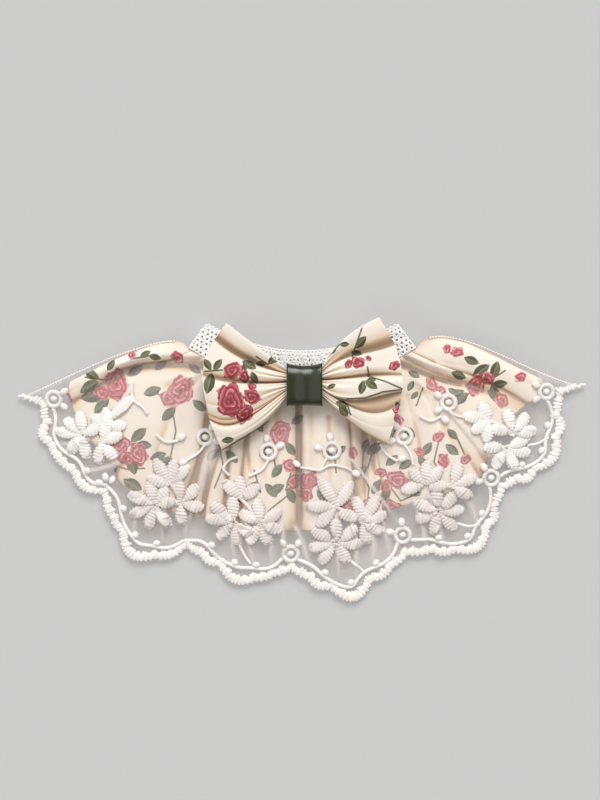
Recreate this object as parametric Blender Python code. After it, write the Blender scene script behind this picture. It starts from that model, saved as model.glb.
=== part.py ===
"""Pet lace collar: a slip-over neck ring with a gathered ruffle, a lace flounce and a bow.

The collar lies flat, folded at its left and right ends, with its front half on top. The origin is on
the table under the middle, +Z is up, +Y points from the hem to the neck and +X to the right.
Tables and sizes are in millimetres, and mesh points are in metres.
"""

import math
from collections import namedtuple

import bmesh
import bpy
import numpy as np
from mathutils import Vector
from mathutils.bvhtree import BVHTree

MM = 0.001
SEAM_GAP = 0.3  # between pieces that touch
SHARP_ANGLE = math.radians(40)

# Thickness of each cloth
NET_THICK = 1.0
COTTON_THICK = 1.2
TAPE_THICK = 1.2

# Neck seam: a shallow arc, lowest in the middle
NECK_HALF = 52.4
NECK_LOW_Y = 35.9
NECK_RISE = 15.6
TAPE_WIDTH = 14.0
TAPE_STATIONS = 22
TAPE_LOW = 1.9  # mid height of the back run
TAPE_HIGH = 3.7  # mid height of the front run
TAPE_TURN_STEPS = 4
TAPE_LEAN = 1.3  # how much more the tape's width leans outwards at its ends than square to the seam
TAPE_END_STOP = 1.0

# Lobed hem of the flounce, left tip to right tip: where a lobe starts, and how far it swells outwards
Lobe = namedtuple("Lobe", "x y swell")
HEM_LOBES = [
    Lobe(*row)
    for row in (
        (-129.8, 29.0, 0.0),
        (-120.2, 24.9, 0.7),
        (-119.5, 18.1, 3.2),
        (-117.3, 6.9, 1.6),
        (-106.3, -6.0, 3.7),
        (-91.7, -15.2, 1.4),
        (-88.4, -26.7, 0.9),
        (-84.3, -32.6, 6.9),
        (-67.1, -45.4, 2.5),
        (-53.1, -39.8, 0.7),
        (-47.0, -44.1, 1.6),
        (-38.9, -48.5, 4.8),
        (-20.8, -55.6, 0.9),
        (-12.1, -53.3, 0.7),
        (-5.2, -50.6, 0.7),
        (2.2, -54.7, 2.3),
        (12.5, -59.3, 7.4),
        (32.8, -55.6, 1.8),
        (42.2, -49.2, 0.7),
        (48.6, -43.7, 0.9),
        (59.5, -42.5, 1.6),
        (70.5, -42.5, 6.0),
        (86.6, -30.3, 2.5),
        (89.6, -20.9, 0.9),
        (93.3, -12.9, 0.7),
        (98.6, -10.1, 2.8),
        (108.0, -5.0, 4.8),
        (118.8, 11.1, 2.5),
        (118.7, 21.4, 0.5),
        (119.9, 30.4, 0.0),
        (129.8, 34.1, 0.0),
    )
]
LOBE_STEP = 6.6  # length of hem to a column of the cloth
FLAT_LOBE = 1.0  # a lobe that swells less than this is drawn straight where it is short

# How far the folded ends bow up from a straight line, and where along the line most of it is
END_BOW = {"left": (7.0, 0.35, 1.17), "right": (9.0, 0.5, 1.9)}  # height, early power, late power
END_REACH = 0.14  # share of the hem over which that bow dies away, less towards the neck
END_PINCH = 0.08

# Where each share of the hem is gathered to on the neck seam, as (hem, neck) from left to right
GATHERS = ((0.0, 0.0), (0.33, 0.10), (0.40, 0.26), (0.50, 0.50), (0.58, 0.70), (0.68, 0.90), (1.0, 1.0))

# Hem of the cotton ruffle, left fold to right fold, as (x, y)
RUFFLE_HEM = (
    (-108.7, 37.3),
    (-107.8, 31.8),
    (-104.1, 22.6),
    (-97.6, 10.6),
    (-87.5, -0.4),
    (-83.8, -9.6),
    (-74.6, -16.5),
    (-63.1, -21.6),
    (-50.7, -25.3),
    (-40.1, -27.1),
    (-24.0, -28.5),
    (-10.7, -30.3),
    (-4.7, -32.6),
    (4.5, -31.3),
    (15.1, -28.0),
    (31.2, -24.8),
    (45.0, -20.7),
    (58.8, -16.5),
    (70.3, -12.4),
    (81.8, -7.8),
    (85.0, 0.5),
    (83.6, 9.7),
    (91.0, 16.6),
    (102.5, 25.8),
    (109.4, 31.3),
    (111.7, 35.9),
)

# Height of the cotton's upper side before folds, as (fall, height): fall goes from the neck seam (0) to
# the lace hem (1)
LIE = (
    (0.0, 5.1),
    (0.06, 5.3),
    (0.15, 5.9),
    (0.3, 6.6),
    (0.5, 6.3),
    (0.7, 5.2),
    (0.82, 3.8),
    (0.92, 1.6),
    (1.0, 1.0),
)
# Share of a fold's height that is there, as (fall, share)
FOLD_LIFE = ((0.0, 0.15), (0.1, 0.4), (0.28, 1.0), (0.6, 1.0), (0.8, 0.7), (1.0, 0.12))

# Gathered panels from left to right: where one starts along the hem, and how high it swells
Panel = namedtuple("Panel", "start swell")
PANELS = [
    Panel(*row)
    for row in (
        (0.0, 2.6),
        (0.05, 3.6),
        (0.335, 0.6),
        (0.350, 2.4),
        (0.380, 0.8),
        (0.405, 2.6),
        (0.490, 3.0),
        (0.575, 1.0),
        (0.620, 3.8),
        (0.93, 3.0),
        (1.0, 0.0),
    )
]
PANEL_ROUNDNESS = 0.8  # below 1, crests are broad and valleys are sharp

# Creases across the panels, and the points that each runs through
Crease = namedtuple("Crease", "depth half_width way")
CREASES = {
    "left_roll": Crease(4.2, 3.2, ((-45.7, 44.8), (-54.4, 45.1), (-72.8, 44.2), (-82.0, 41.9), (-97.6, 34.1))),
    "left_second": Crease(1.4, 2.6, ((-45.2, 43.9), (-54.4, 40.0), (-63.1, 32.2))),
    "right_roll": Crease(4.2, 3.2, ((45.4, 45.6), (55.1, 41.4), (64.7, 37.7), (73.9, 35.4), (92.0, 30.2))),
    "right_drape": Crease(1.2, 4.0, ((46.0, 42.0), (63.4, 16.6), (81.8, -8.7))),
    "bow_shade": Crease(2.2, 4.5, ((27.5, 16.0), (26.0, -4.0), (24.5, -20.0))),
}

CREASE_END = 3  # a higher power keeps a crease deep for longer

# The fold at each end of the collar, where the cloth turns under
END_TURN = 6.0
SEWN_FALL = 0.16  # share of the fall over which the neck seam holds the cloth up
EDGE_HEIGHT = 2.5

# Hidden back half
BACK_INSET = 1.8
BACK_NET_PROFILE = ((0.3, 0.0), (0.0, 0.3), (0.0, 0.75), (0.3, 1.0))  # inset, height
BACK_RUFFLE_PROFILE = ((0.5, 1.3), (0.0, 1.7), (1.1, 2.3), (0.5, 2.8), (1.3, 3.4))
BACK_RUFFLE_END_INSET = 5.5
BACK_RUFFLE_SPARE = 1.5
BACK_RUFFLE_HEM_INSET = 2.5

BACK_NET_TOP = BACK_NET_PROFILE[-1][1]
BACK_RUFFLE_TOP = BACK_RUFFLE_PROFILE[-1][1]

# Satin-stitched border of the net
BORDER_WIDTH = 4.0
BORDER_RISE = 0.7
COTTON_ROWS = (0.0, 0.04, 0.12, 0.24, 0.38, 0.54, 0.7, 0.86, 1.0)  # shares of the way to the cotton's hem
NET_ROWS = (0.25, 0.6)  # shares of the way from there to the border
REACH_TRIALS = 121  # falls tried in finding the cotton's hem
END_LINE_STEPS = 25
BACK_ROWS = (0.0, 0.05, 0.2, 0.4, 0.6, 0.8, 1.0)
NECK_COLUMN_SKIP = 3  # a hidden layer's neck edge takes every third column
CORNER_CUT = 3  # columns left out at the corners of the hidden ruffle
LEAST_FACING = 0.5  # a wall's upright cut is at most its thickness over this
NET_FOLD = 0.35  # how much of a panel's swell goes on in the free net
NET_DROP = 2.5  # how sharply the free net comes down
RUFFLE_END_STOP = 0.3  # how far the cotton's last column is towards the one before it

# Bow: its crests and valleys from the top edge down, in the left wing (-1) and in the right one (1).
# A line meets the wing's outer edge at end_x and end_y. It leaves the knot at knot_y, and a third and two
# thirds of the way out it is at y1 and y2.
BOW_KNOT_X = {-1: -6.8, 1: 8.8}
BOW_MIDDLE_X = 1.0
BOW_BASE = 12.2
BowLine = namedtuple("BowLine", "end_x end_y y1 y2 knot_y")
BOW_LINES = {
    -1: (
        (-34.2, 62.9, 49.0, 55.8, 42.2),
        (-39.7, 55.2, 43.9, 46.9, 40.4),
        (-43.5, 48.0, 41.4, 44.6, 38.9),
        (-44.9, 40.0, 36.2, 36.8, 36.8),
        (-44.8, 30.0, 31.0, 29.0, 34.6),
        (-42.0, 19.4, 24.0, 17.6, 32.4),
        (-40.0, 13.2, 20.8, 13.4, 31.0),
        (-36.2, 5.1, 17.9, 10.6, 29.6),
    ),
    1: (
        (34.7, 65.5, 54.0, 61.2, 42.8),
        (40.8, 52.9, 46.2, 49.2, 40.6),
        (42.5, 47.5, 43.2, 46.0, 39.0),
        (43.5, 41.5, 37.8, 40.0, 37.0),
        (45.0, 34.4, 33.0, 34.2, 35.0),
        (45.0, 28.6, 27.0, 25.4, 32.9),
        (42.8, 19.0, 22.6, 17.6, 31.2),
        (38.5, 7.8, 19.8, 12.8, 29.6),
    ),
}
# Height of the same lines over the bow's base: at the knot, half way out and at the wing's edge
BOW_HEIGHTS = (
    (4.6, 5.2, 4.6),
    (2.4, 1.6, 2.6),
    (5.2, 7.0, 6.2),
    (3.6, 5.8, 6.4),
    (5.6, 8.4, 7.2),
    (2.4, 2.0, 2.4),
    (4.2, 4.6, 4.2),
    (2.4, 1.8, 1.6),
)
BOW_LINE_STEPS = 2
BOW_WING_STEPS = 8
BOW_BACK_TOP = 11.5  # height of the bow's back layer
BOW_BACK_THICK = 1.0
BOW_BACK_INSET = 1.4
BOW_BACK_GATHER = 2.4  # how much narrower it is at the knot, on either side
BOW_BACK_DROP = 2.2  # how far the back layer shows below the left wing
BOW_BACK_DROP_X = -16.0  # where it does
BOW_BACK_DROP_REACH = 8.0
BOW_BACK_ROWS = 6
BOW_BACK_BELLY = 0.5
BOW_HALF_WIDTH = 40.0

# Knot: a ribbon round the bow's middle
KNOT_HALF_WIDTH = 7.9
KNOT_HALF_HEIGHT = 9.7
KNOT_LOW = 8.5
KNOT_TOP = 19.8
KNOT_WAIST = 0.2  # how much slimmer the loop is half way across the ribbon
KNOT_MIDDLE_Y = 35.1
KNOT_SQUARENESS = 0.5  # power of the loop's round section: 1 is an ellipse, 0 a box
RIBBON_THICK = 1.0
KNOT_SIDES = 24

# Embroidery: one scallop's motif, drawn from its first flower's centre
# Flowers as x, y, radius, petals and turn in degrees
FLOWERS = ((0.0, 0.0, 9.6, 7, 90.0), (12.4, 8.6, 9.0, 6, 65.0))
# Leaves and stems as x and y of the foot, x and y of the tip, and the width
LEAVES = (
    (0.0, 3.0, -0.6, 16.6, 2.4),
    (-0.6, 15.0, -6.8, 28.8, 6.2),
    (-0.6, 15.0, 7.6, 26.8, 5.6),
    (0.2, 15.4, -13.6, 16.0, 5.4),
    (0.2, 14.6, -9.6, 7.4, 5.2),
    (3.0, -8.0, 12.6, -15.0, 1.8),
)
MOTIF_RISE = 1.3
MOTIF_EDGE = 0.5  # share of the rise that the upright edge has
CROWN = 1.1
FLOWER_SHOULDER = 0.6
FLOWER_STEPS = 3  # points of the outline to a petal
PETAL_NOTCH = 0.52  # how far in the outline comes between two petals
PETAL_BLUNTNESS = 0.7
LEAF_SHAPE = ((0.0, 0.3), (0.4, 1.0), (0.9, 0.6), (0.9, -0.6), (0.4, -1.0), (0.0, -0.3))  # along, to the side
SHAPE_STEP = 0.06  # how much lower each next shape is, so that no two faces of a union are in one plane
MOTIF_CLEAR = 0.65
MOTIF_ANCHORS = ((0.0, 0.0), (12.4, 8.6), (-0.6, 14.6))
# Where the first flower, the second flower and the leaves' node lie in each scallop, left to right, as the
# x and y of each
MOTIF_PLACES = (
    (-100.1, 12.0, -91.6, 8.8, -87.8, 18.1),
    (-67.3, -19.8, -55.6, -18.8, -61.0, -10.6),
    (-31.4, -27.8, -19.0, -28.2, -28.6, -17.2),
    (15.7, -36.7, 27.7, -27.7, 14.7, -20.8),
    (62.2, -22.9, 68.2, -10.8, 56.6, -8.8),
    (93.4, 6.0, 96.2, 12.9, 84.9, 16.6),
)

# Corded rings of the lace, as x, y and radius
RINGS = (
    (-113.7, 28.6, 3.4),
    (-44.3, 11.1, 3.3),
    (-5.2, -42.3, 3.4),
    (-15.3, 4.6, 3.4),
    (13.5, 5.1, 3.6),
    (46.1, -33.8, 3.4),
    (46.4, 11.6, 3.4),
    (86.4, -7.5, 3.4),
    (66.6, 27.0, 3.2),
    (111.7, 32.0, 3.2),
)
ABOVE_ALL = 100.0
RING_CORD = 0.8
RING_CLEAR = 0.45
RING_SIDES = 10
RING_CORD_SIDES = 4


def neck_y(x):
    """Height on the page of the neck seam at x."""
    return NECK_LOW_Y + NECK_RISE * (x / NECK_HALF) ** 2


def unit(vector):
    return vector / np.linalg.norm(vector)


def arc(start, end, swell, steps):
    """Points from start up to end on a round arc that swells to the right of the way there."""
    way = end - start
    outward = np.array([way[1], -way[0]]) / np.linalg.norm(way)
    shares = np.arange(steps) / steps
    return [start + way * t + outward * swell * 4 * t * (1 - t) for t in shares]


def hem_columns():
    """Shares along the hem and the hem's points, with the lobes' round outline."""
    corners = np.array([(lobe.x, lobe.y) for lobe in HEM_LOBES])
    lengths = np.linalg.norm(np.diff(corners, axis=0), axis=1)
    starts = np.concatenate([[0.0], np.cumsum(lengths)]) / lengths.sum()
    shares = []
    points = []
    for i, length in enumerate(lengths):
        swell = HEM_LOBES[i].swell
        least = 2 if swell > FLAT_LOBE else 1
        steps = max(least, round((length + 2 * swell) / LOBE_STEP))
        points += arc(corners[i], corners[i + 1], swell, steps)
        shares += list(np.linspace(starts[i], starts[i + 1], steps, endpoint=False))
    return np.array(shares + [1.0]), np.array(points + [corners[-1]])


def neck_point(share):
    """The point of the neck seam that the cloth at this share of the hem is gathered to."""
    along = np.interp(share, *zip(*GATHERS))
    x = NECK_HALF * (2 * along - 1)
    return np.stack([x, neck_y(x)], axis=-1)


def end_bow(share, fall):
    """How far the cloth near a folded end bows up from the straight line, at this share of its fall."""
    total = 0.0
    for side, away in (("left", share), ("right", 1 - share)):
        height, early, late = END_BOW[side]
        peak = early / (early + late)
        most = peak**early * (1 - peak) ** late
        reach = END_REACH * np.minimum(fall + END_PINCH, 1.0)
        total = total + height / most * fall**early * (1 - fall) ** late * np.exp(-((away / reach) ** 2))
    return total


def flounce_points(share, hem, fall):
    """Plan points at a fall from the neck seam (0) to the hem point (1)."""
    start = neck_point(share)
    way = hem - start
    across = np.stack([way[..., 1], -way[..., 0]], axis=-1)
    across = across / np.linalg.norm(across, axis=-1, keepdims=True)
    across = np.where(across[..., 1:] < 0, -across, across)
    return start + way * fall[..., None] + across * end_bow(share, fall)[..., None]


def distance_to_line(points, line):
    """Distance from each plan point to a line of points, and how far along the line the nearest place is."""
    best = np.full(points.shape[:-1], 1e9)
    along = np.zeros(points.shape[:-1])
    for i in range(len(line) - 1):
        way = line[i + 1] - line[i]
        t = np.clip(((points - line[i]) @ way) / (way @ way), 0, 1)
        gap = np.linalg.norm(points - (line[i] + t[..., None] * way), axis=-1)
        along = np.where(gap < best, (i + t) / (len(line) - 1), along)
        best = np.minimum(best, gap)
    return best, along


def end_lines():
    """The two folded ends of the net, as lines in plan."""
    falls = np.linspace(0, 1, END_LINE_STEPS)
    lines = []
    for share, corner in ((0.0, HEM_LOBES[0]), (1.0, HEM_LOBES[-1])):
        hem = np.tile(np.array([corner.x, corner.y]), (len(falls), 1))
        lines.append(flounce_points(np.full(len(falls), share), hem, falls))
    return lines


def panel_swell(share):
    """Height of the gathered panels at this share of the hem: sharp valleys and round crests."""
    starts = np.array([panel.start for panel in PANELS])
    k = np.clip(np.searchsorted(starts, share, side="right") - 1, 0, len(PANELS) - 2)
    t = (share - starts[k]) / (starts[k + 1] - starts[k])
    return np.array([panel.swell for panel in PANELS])[k] * np.sin(math.pi * t) ** PANEL_ROUNDNESS


def from_fold(points, fall):
    """Distance from the folded ends, counted as far where the cloth is sewn to the neck tape."""
    side = np.minimum(*(distance_to_line(points, line)[0] for line in end_lines()))
    return side + END_TURN * np.clip(1 - fall / SEWN_FALL, 0, 1)


def cotton_height(points, share, fall):
    """Height of the ruffle's upper side over the table, at plan points of this share and fall."""
    height = np.interp(fall, *zip(*LIE))
    height = height + panel_swell(share) * np.interp(fall, *zip(*FOLD_LIFE))
    for crease in CREASES.values():
        gap, along = distance_to_line(points, np.array(crease.way))
        height = height - crease.depth * np.exp(-((gap / crease.half_width) ** 2)) * (1 - along**CREASE_END)
    turn = 1 - np.clip(1 - from_fold(points, fall) / END_TURN, 0, 1) ** 2
    low = np.minimum(height, EDGE_HEIGHT)
    return low + (height - low) * np.sqrt(turn)


def metres(points):
    return [Vector(p) * MM for p in np.asarray(points, float).reshape(-1, 3)]


def new_material(name, colour, roughness, metallic=0.0):
    material = bpy.data.materials.new(name)
    material.use_nodes = True
    shader = material.node_tree.nodes["Principled BSDF"]
    shader.inputs["Base Color"].default_value = (*colour, 1.0)
    shader.inputs["Roughness"].default_value = roughness
    shader.inputs["Metallic"].default_value = metallic
    return material


def new_collection(name, hidden=False):
    collection = bpy.data.collections.new(name)
    collection.hide_render = hidden
    bpy.context.scene.collection.children.link(collection)
    return collection


def object_from(bm, name, material, collection):
    """A mesh object whose faces point outwards."""
    bmesh.ops.recalc_face_normals(bm, faces=bm.faces)
    mesh = bpy.data.meshes.new(name)
    bm.to_mesh(mesh)
    bm.free()
    mesh.materials.append(material)
    mesh.shade_smooth()
    mesh.set_sharp_from_angle(angle=SHARP_ANGLE)
    made = bpy.data.objects.new(name, mesh)
    collection.objects.link(made)
    return made


def loft(rings, closed_rings=True):
    """A closed body through rings of points. Rings that aren't closed make a folded sheet of one loop."""
    bm = bmesh.new()
    rows = [[bm.verts.new(p) for p in metres(ring)] for ring in rings]
    count = len(rows[0])
    for low, high in zip(rows, rows[1:] if closed_rings else rows[1:] + rows[:1]):
        for i in range(count):
            j = (i + 1) % count
            bm.faces.new((low[i], low[j], high[j], high[i]))
    if closed_rings:
        bm.faces.new(rows[0][::-1])
        bm.faces.new(rows[-1])
    return bm


def lowered(upper, drop):
    lower = upper.copy()
    lower[..., 2] -= drop
    return lower


def wall(upper, lower):
    """A cloth wall between its upper and its lower side, two grids over the same plan points."""
    bm = bmesh.new()
    rows, columns = upper.shape[:2]
    top, bottom = (
        [[bm.verts.new(p) for p in metres(side[i])] for i in range(rows)] for side in (upper, lower)
    )
    for i in range(rows - 1):
        for j in range(columns - 1):
            bm.faces.new((top[i][j], top[i + 1][j], top[i + 1][j + 1], top[i][j + 1]))
            bm.faces.new((bottom[i][j], bottom[i][j + 1], bottom[i + 1][j + 1], bottom[i + 1][j]))
    for i in range(rows - 1):
        for j in (0, columns - 1):
            bm.faces.new((top[i][j], bottom[i][j], bottom[i + 1][j], top[i + 1][j]))
    for j in range(columns - 1):
        for i in (0, rows - 1):
            bm.faces.new((top[i][j], top[i][j + 1], bottom[i][j + 1], bottom[i][j]))
    return bm


def cloth_columns():
    """Shares and hem points of the cloth's columns, and the fall at which the cotton ends in each."""
    shares, hems = hem_columns()
    falls = np.linspace(0.4, 1.0, REACH_TRIALS)[:, None]
    grid = np.broadcast_to(falls, (len(falls), len(shares)))
    points = flounce_points(np.broadcast_to(shares, grid.shape), np.broadcast_to(hems, (*grid.shape, 2)), grid)
    gap, _ = distance_to_line(points, np.array(RUFFLE_HEM))
    return shares, hems, falls[np.argmin(gap, axis=0), 0]


def cloth_grid(falls, shares, hems):
    """Plan points and heights of the cotton's upper side at these falls, a row for each fall."""
    share = np.broadcast_to(shares, falls.shape)
    points = flounce_points(share, np.broadcast_to(hems, (*falls.shape, 2)), falls)
    height = cotton_height(points, share, falls)
    over_ruffle = from_fold(points, falls) > BACK_RUFFLE_END_INSET - BACK_RUFFLE_SPARE
    over_back = np.where(over_ruffle, BACK_RUFFLE_TOP, BACK_NET_TOP)
    steep = rise_for_slope(surface(points, height))
    return points, np.maximum(height, over_back + SEAM_GAP + COTTON_THICK * steep)


def surface(points, height):
    return np.concatenate([points, height[..., None]], axis=-1)


def rise_for_slope(upper):
    """How much taller than the cloth is thick its upright cut is, at each point."""
    facing = np.cross(np.gradient(upper, axis=1), np.gradient(upper, axis=0))
    facing = np.abs(facing[..., 2]) / np.maximum(np.linalg.norm(facing, axis=-1), 1e-9)
    return 1 / np.maximum(facing, LEAST_FACING)


def cotton_falls(reach):
    return np.array(COTTON_ROWS)[:, None] * reach


def build_ruffle_front(material, collection):
    """The cotton's ends stop short of the net's, where its last column lies part of the way to the next."""
    shares, hems, reach = cloth_columns()
    upper = surface(*cloth_grid(cotton_falls(reach), shares, hems))
    for end, beside in ((0, 1), (-1, -2)):
        upper[:, end] += (upper[:, beside] - upper[:, end]) * RUFFLE_END_STOP
        upper[:, end, 2] -= SEAM_GAP
    lower = lowered(upper, COTTON_THICK * rise_for_slope(upper))
    return object_from(wall(upper, lower), "ruffle_front", material, collection)


def build_lace_front(material, collection):
    """The net lies on the ruffle, and past the ruffle's hem comes down to the back half's net."""
    shares, hems, reach = cloth_columns()
    lengths = np.linalg.norm(hems - neck_point(shares), axis=-1)
    over = cotton_falls(reach)
    border = 1 - BORDER_WIDTH / lengths
    past = reach + (border - reach) * np.array(NET_ROWS)[:, None]
    last = np.stack([border, (1 + border) / 2, np.ones(len(shares))])
    falls = np.concatenate([over, past, last])
    points, cotton = cloth_grid(falls, shares, hems)
    steep = rise_for_slope(surface(points, cotton))
    height = cotton + (SEAM_GAP + NET_THICK) * steep
    free = len(over)
    height[free:] = free_net_height(falls[free:], shares, reach, height[free - 1])
    upper = surface(points, height)
    steep[free:] = rise_for_slope(upper)[free:]
    lower = lowered(upper, NET_THICK * steep)
    upper[-2, :, 2] += BORDER_RISE
    return object_from(wall(upper, lower), "lace_front", material, collection)


def free_net_height(falls, shares, reach, start):
    """Height of the net past the cotton's hem: it falls from there and lies on the back half's net."""
    low = BACK_NET_TOP + SEAM_GAP + NET_THICK
    down = np.clip((falls - reach) / (1 - reach), 0, 1)
    folds = panel_swell(np.broadcast_to(shares, falls.shape)) * NET_FOLD * np.sin(math.pi * down)
    return low + (start - low) * (1 - down) ** NET_DROP + folds


def outline(grid, cut):
    """The closed outline of a grid: down its left end, along the hem, up its right end, back along the neck.

    It cuts the hem's corners by so many columns.
    """
    hem = grid[-1, cut : grid.shape[1] - 1 - cut]
    right = grid[-1:0:-1, -1] if cut == 0 else grid[-2:0:-1, -1]
    return np.concatenate([grid[:-1, 0], hem, right, grid[0, :0:-NECK_COLUMN_SKIP]])


def inset_outline(line, inset):
    """The outline moved inwards, by one inset or by one for each point."""
    way = np.roll(line, -1, axis=0) - np.roll(line, 1, axis=0)
    inward = np.stack([-way[:, 1], way[:, 0]], axis=-1)
    inward = inward / np.linalg.norm(inward, axis=-1, keepdims=True)
    return line + inward * np.broadcast_to(inset, len(line))[:, None]


def slab(line, profile):
    """A flat body whose edge follows the profile's insets and heights."""
    rings = []
    for inset, height in profile:
        ring = inset_outline(line, inset)
        rings.append(np.concatenate([ring, np.full((len(ring), 1), height)], axis=-1))
    return loft(rings)


def back_outline(rows, reach_of, neck_inset, end_inset, hem_inset):
    """Outline of a hidden back layer, inset by its own amount at the neck, the folded ends and the hem."""
    shares, hems, reach = cloth_columns()
    falls = np.array(rows)[:, None] * (reach if reach_of == "cotton" else np.ones(len(shares)))
    points, _ = cloth_grid(falls, shares, hems)
    insets = np.full(falls.shape, hem_inset)
    insets[:-1, [0, -1]] = end_inset
    insets[0] = neck_inset
    insets[0, [0, -1]] = max(neck_inset, end_inset / 2)
    cut = CORNER_CUT if reach_of == "cotton" else 0
    return inset_outline(outline(points, cut), outline(insets, cut))


def build_lace_back(material, collection):
    line = back_outline(BACK_ROWS, "net", 0.0, BACK_INSET, BACK_INSET)
    return object_from(slab(line, BACK_NET_PROFILE), "lace_back", material, collection)


def build_ruffle_back(material, collection):
    line = back_outline(BACK_ROWS, "cotton", SEAM_GAP, BACK_RUFFLE_END_INSET, BACK_RUFFLE_HEM_INSET)
    return object_from(slab(line, BACK_RUFFLE_PROFILE), "ruffle_back", material, collection)


def tape_station(x):
    """The seam-side point, the unit way across the tape and the way along it, in plan."""
    slope = 2 * NECK_RISE * x / NECK_HALF**2
    across = unit(np.array([-slope * TAPE_LEAN, 1.0]))
    return np.array([x, neck_y(x)]) + across * SEAM_GAP, across, unit(np.array([1.0, slope]))


def tape_ring(foot, across, facing, height):
    """The four corners of the tape's section."""
    half = facing * TAPE_THICK / 2
    low = np.array([*foot, height])
    wide = np.array([*(across * TAPE_WIDTH), 0.0])
    return np.array([low + half, low + wide + half, low + wide - half, low - half])


def build_neckband(material, collection):
    """One crocheted tape closed to a ring, folded flat: the front run, a turn, the back run, a turn."""
    middle = (TAPE_LOW + TAPE_HIGH) / 2
    radius = (TAPE_HIGH - TAPE_LOW) / 2
    reach = NECK_HALF - TAPE_END_STOP
    xs = np.linspace(-reach, reach, TAPE_STATIONS)
    up = np.array([0.0, 0.0, 1.0])
    rings = []
    for level, run in ((TAPE_HIGH, xs), (TAPE_LOW, xs[::-1])):
        sign = 1 if level == TAPE_HIGH else -1
        for x in run:
            foot, across, _ = tape_station(x)
            rings.append(tape_ring(foot, across, up * sign, level))
        foot, across, along = tape_station(run[-1])
        out = np.array([*(along * sign), 0.0])
        for k in range(1, TAPE_TURN_STEPS):
            angle = math.pi * k / TAPE_TURN_STEPS
            facing = up * math.cos(angle) * sign + out * math.sin(angle)
            shifted = foot + out[:2] * radius * math.sin(angle)
            rings.append(tape_ring(shifted, across, facing, middle + radius * math.cos(angle) * sign))
    return object_from(loft(rings, closed_rings=False), "neckband", material, collection)


def cubic_through(values, t):
    """The smooth curve that passes the four values at 0, 1/3, 2/3 and 1."""
    stops = (0.0, 1 / 3, 2 / 3, 1.0)
    total = 0.0
    for i, value in enumerate(values):
        weight = 1.0
        for j, stop in enumerate(stops):
            if i != j:
                weight *= (t - stop) / (stops[i] - stop)
        total += value * weight
    return total


def bow_key_points(side, t):
    """The bow's eight lines at t from the knot's edge (0) to the wing's outer edge (1)."""
    keys = []
    for row, (z0, z1, z2) in zip(BOW_LINES[side], BOW_HEIGHTS):
        line = BowLine(*row)
        x = BOW_KNOT_X[side] + (line.end_x - BOW_KNOT_X[side]) * t
        y = cubic_through((line.knot_y, line.y1, line.y2, line.end_y), t)
        z = z0 * (1 - t) * (1 - 2 * t) + z1 * 4 * t * (1 - t) + z2 * t * (2 * t - 1)
        keys.append((x, y, BOW_BASE + z))
    return np.array(keys)


def between_lines(keys, steps):
    """Points across the bow: valleys stay sharp and crests are rounded."""
    row = [keys[0]]
    for low, high in zip(keys, keys[1:]):
        for k in range(1, steps + 1):
            t = k / steps
            point = low + (high - low) * t
            rising = high[2] > low[2]
            lift = math.sin(math.pi / 2 * t) if rising else 1 - math.sin(math.pi / 2 * (1 - t))
            point[2] = low[2] + (high[2] - low[2]) * lift
            row.append(point)
    return np.array(row)


def bow_sections():
    """Key lines from the left wing's edge through the knot to the right wing's edge."""
    outward = [math.sin(math.pi / 2 * k / BOW_WING_STEPS) for k in range(BOW_WING_STEPS + 1)]
    left = [bow_key_points(-1, t) for t in outward[::-1]]
    right = [bow_key_points(1, t) for t in outward]
    middle = (left[-1] + right[0]) / 2
    middle[:, 0] = BOW_MIDDLE_X
    return left + [middle] + right


def build_bow(material, collection):
    rows = [between_lines(keys, BOW_LINE_STEPS) for keys in bow_sections()]
    upper = np.array(rows).transpose(1, 0, 2)
    lower = lowered(upper, COTTON_THICK * rise_for_slope(upper))
    return object_from(wall(upper, lower), "bow_front", material, collection)


def build_bow_back(material, collection):
    """The strip's other layer lies behind the wings, and shows a little below the left one."""
    columns = []
    for keys in bow_sections()[::2]:
        away = min(abs(keys[0, 0] - BOW_MIDDLE_X) / BOW_HALF_WIDTH, 1.0)
        peek = BOW_BACK_DROP * math.exp(-(((keys[-1, 0] - BOW_BACK_DROP_X) / BOW_BACK_DROP_REACH) ** 2))
        gathered = BOW_BACK_GATHER * (1 - away)
        top = keys[0, :2] - np.array([0.0, BOW_BACK_INSET + gathered])
        foot = keys[-1, :2] + np.array([0.0, BOW_BACK_INSET * away + gathered - peek])
        pull = np.array([-BOW_BACK_INSET * np.sign(keys[0, 0] - BOW_MIDDLE_X) * away, 0.0])
        shares = np.linspace(0, 1, BOW_BACK_ROWS)[:, None]
        line = top + (foot - top) * shares + pull
        belly = BOW_BACK_BELLY * (np.sin(math.pi * shares) - 1)
        columns.append(np.concatenate([line, BOW_BACK_TOP + belly], axis=-1))
    upper = np.array(columns).transpose(1, 0, 2)
    return object_from(wall(upper, lowered(upper, BOW_BACK_THICK)), "bow_back", material, collection)


def knot_ring(x, shrink, squeeze):
    """One loop of the ribbon: a rounded box section at x."""
    half_z = (KNOT_TOP - KNOT_LOW) / 2 - shrink - squeeze
    half_y = KNOT_HALF_HEIGHT - shrink - squeeze
    ring = []
    for k in range(KNOT_SIDES):
        angle = 2 * math.pi * k / KNOT_SIDES
        c, s = math.cos(angle), math.sin(angle)
        y = KNOT_MIDDLE_Y + half_y * math.copysign(abs(c) ** KNOT_SQUARENESS, c)
        z = (KNOT_TOP + KNOT_LOW) / 2 + half_z * math.copysign(abs(s) ** KNOT_SQUARENESS, s)
        ring.append((x, y, z))
    return ring


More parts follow.
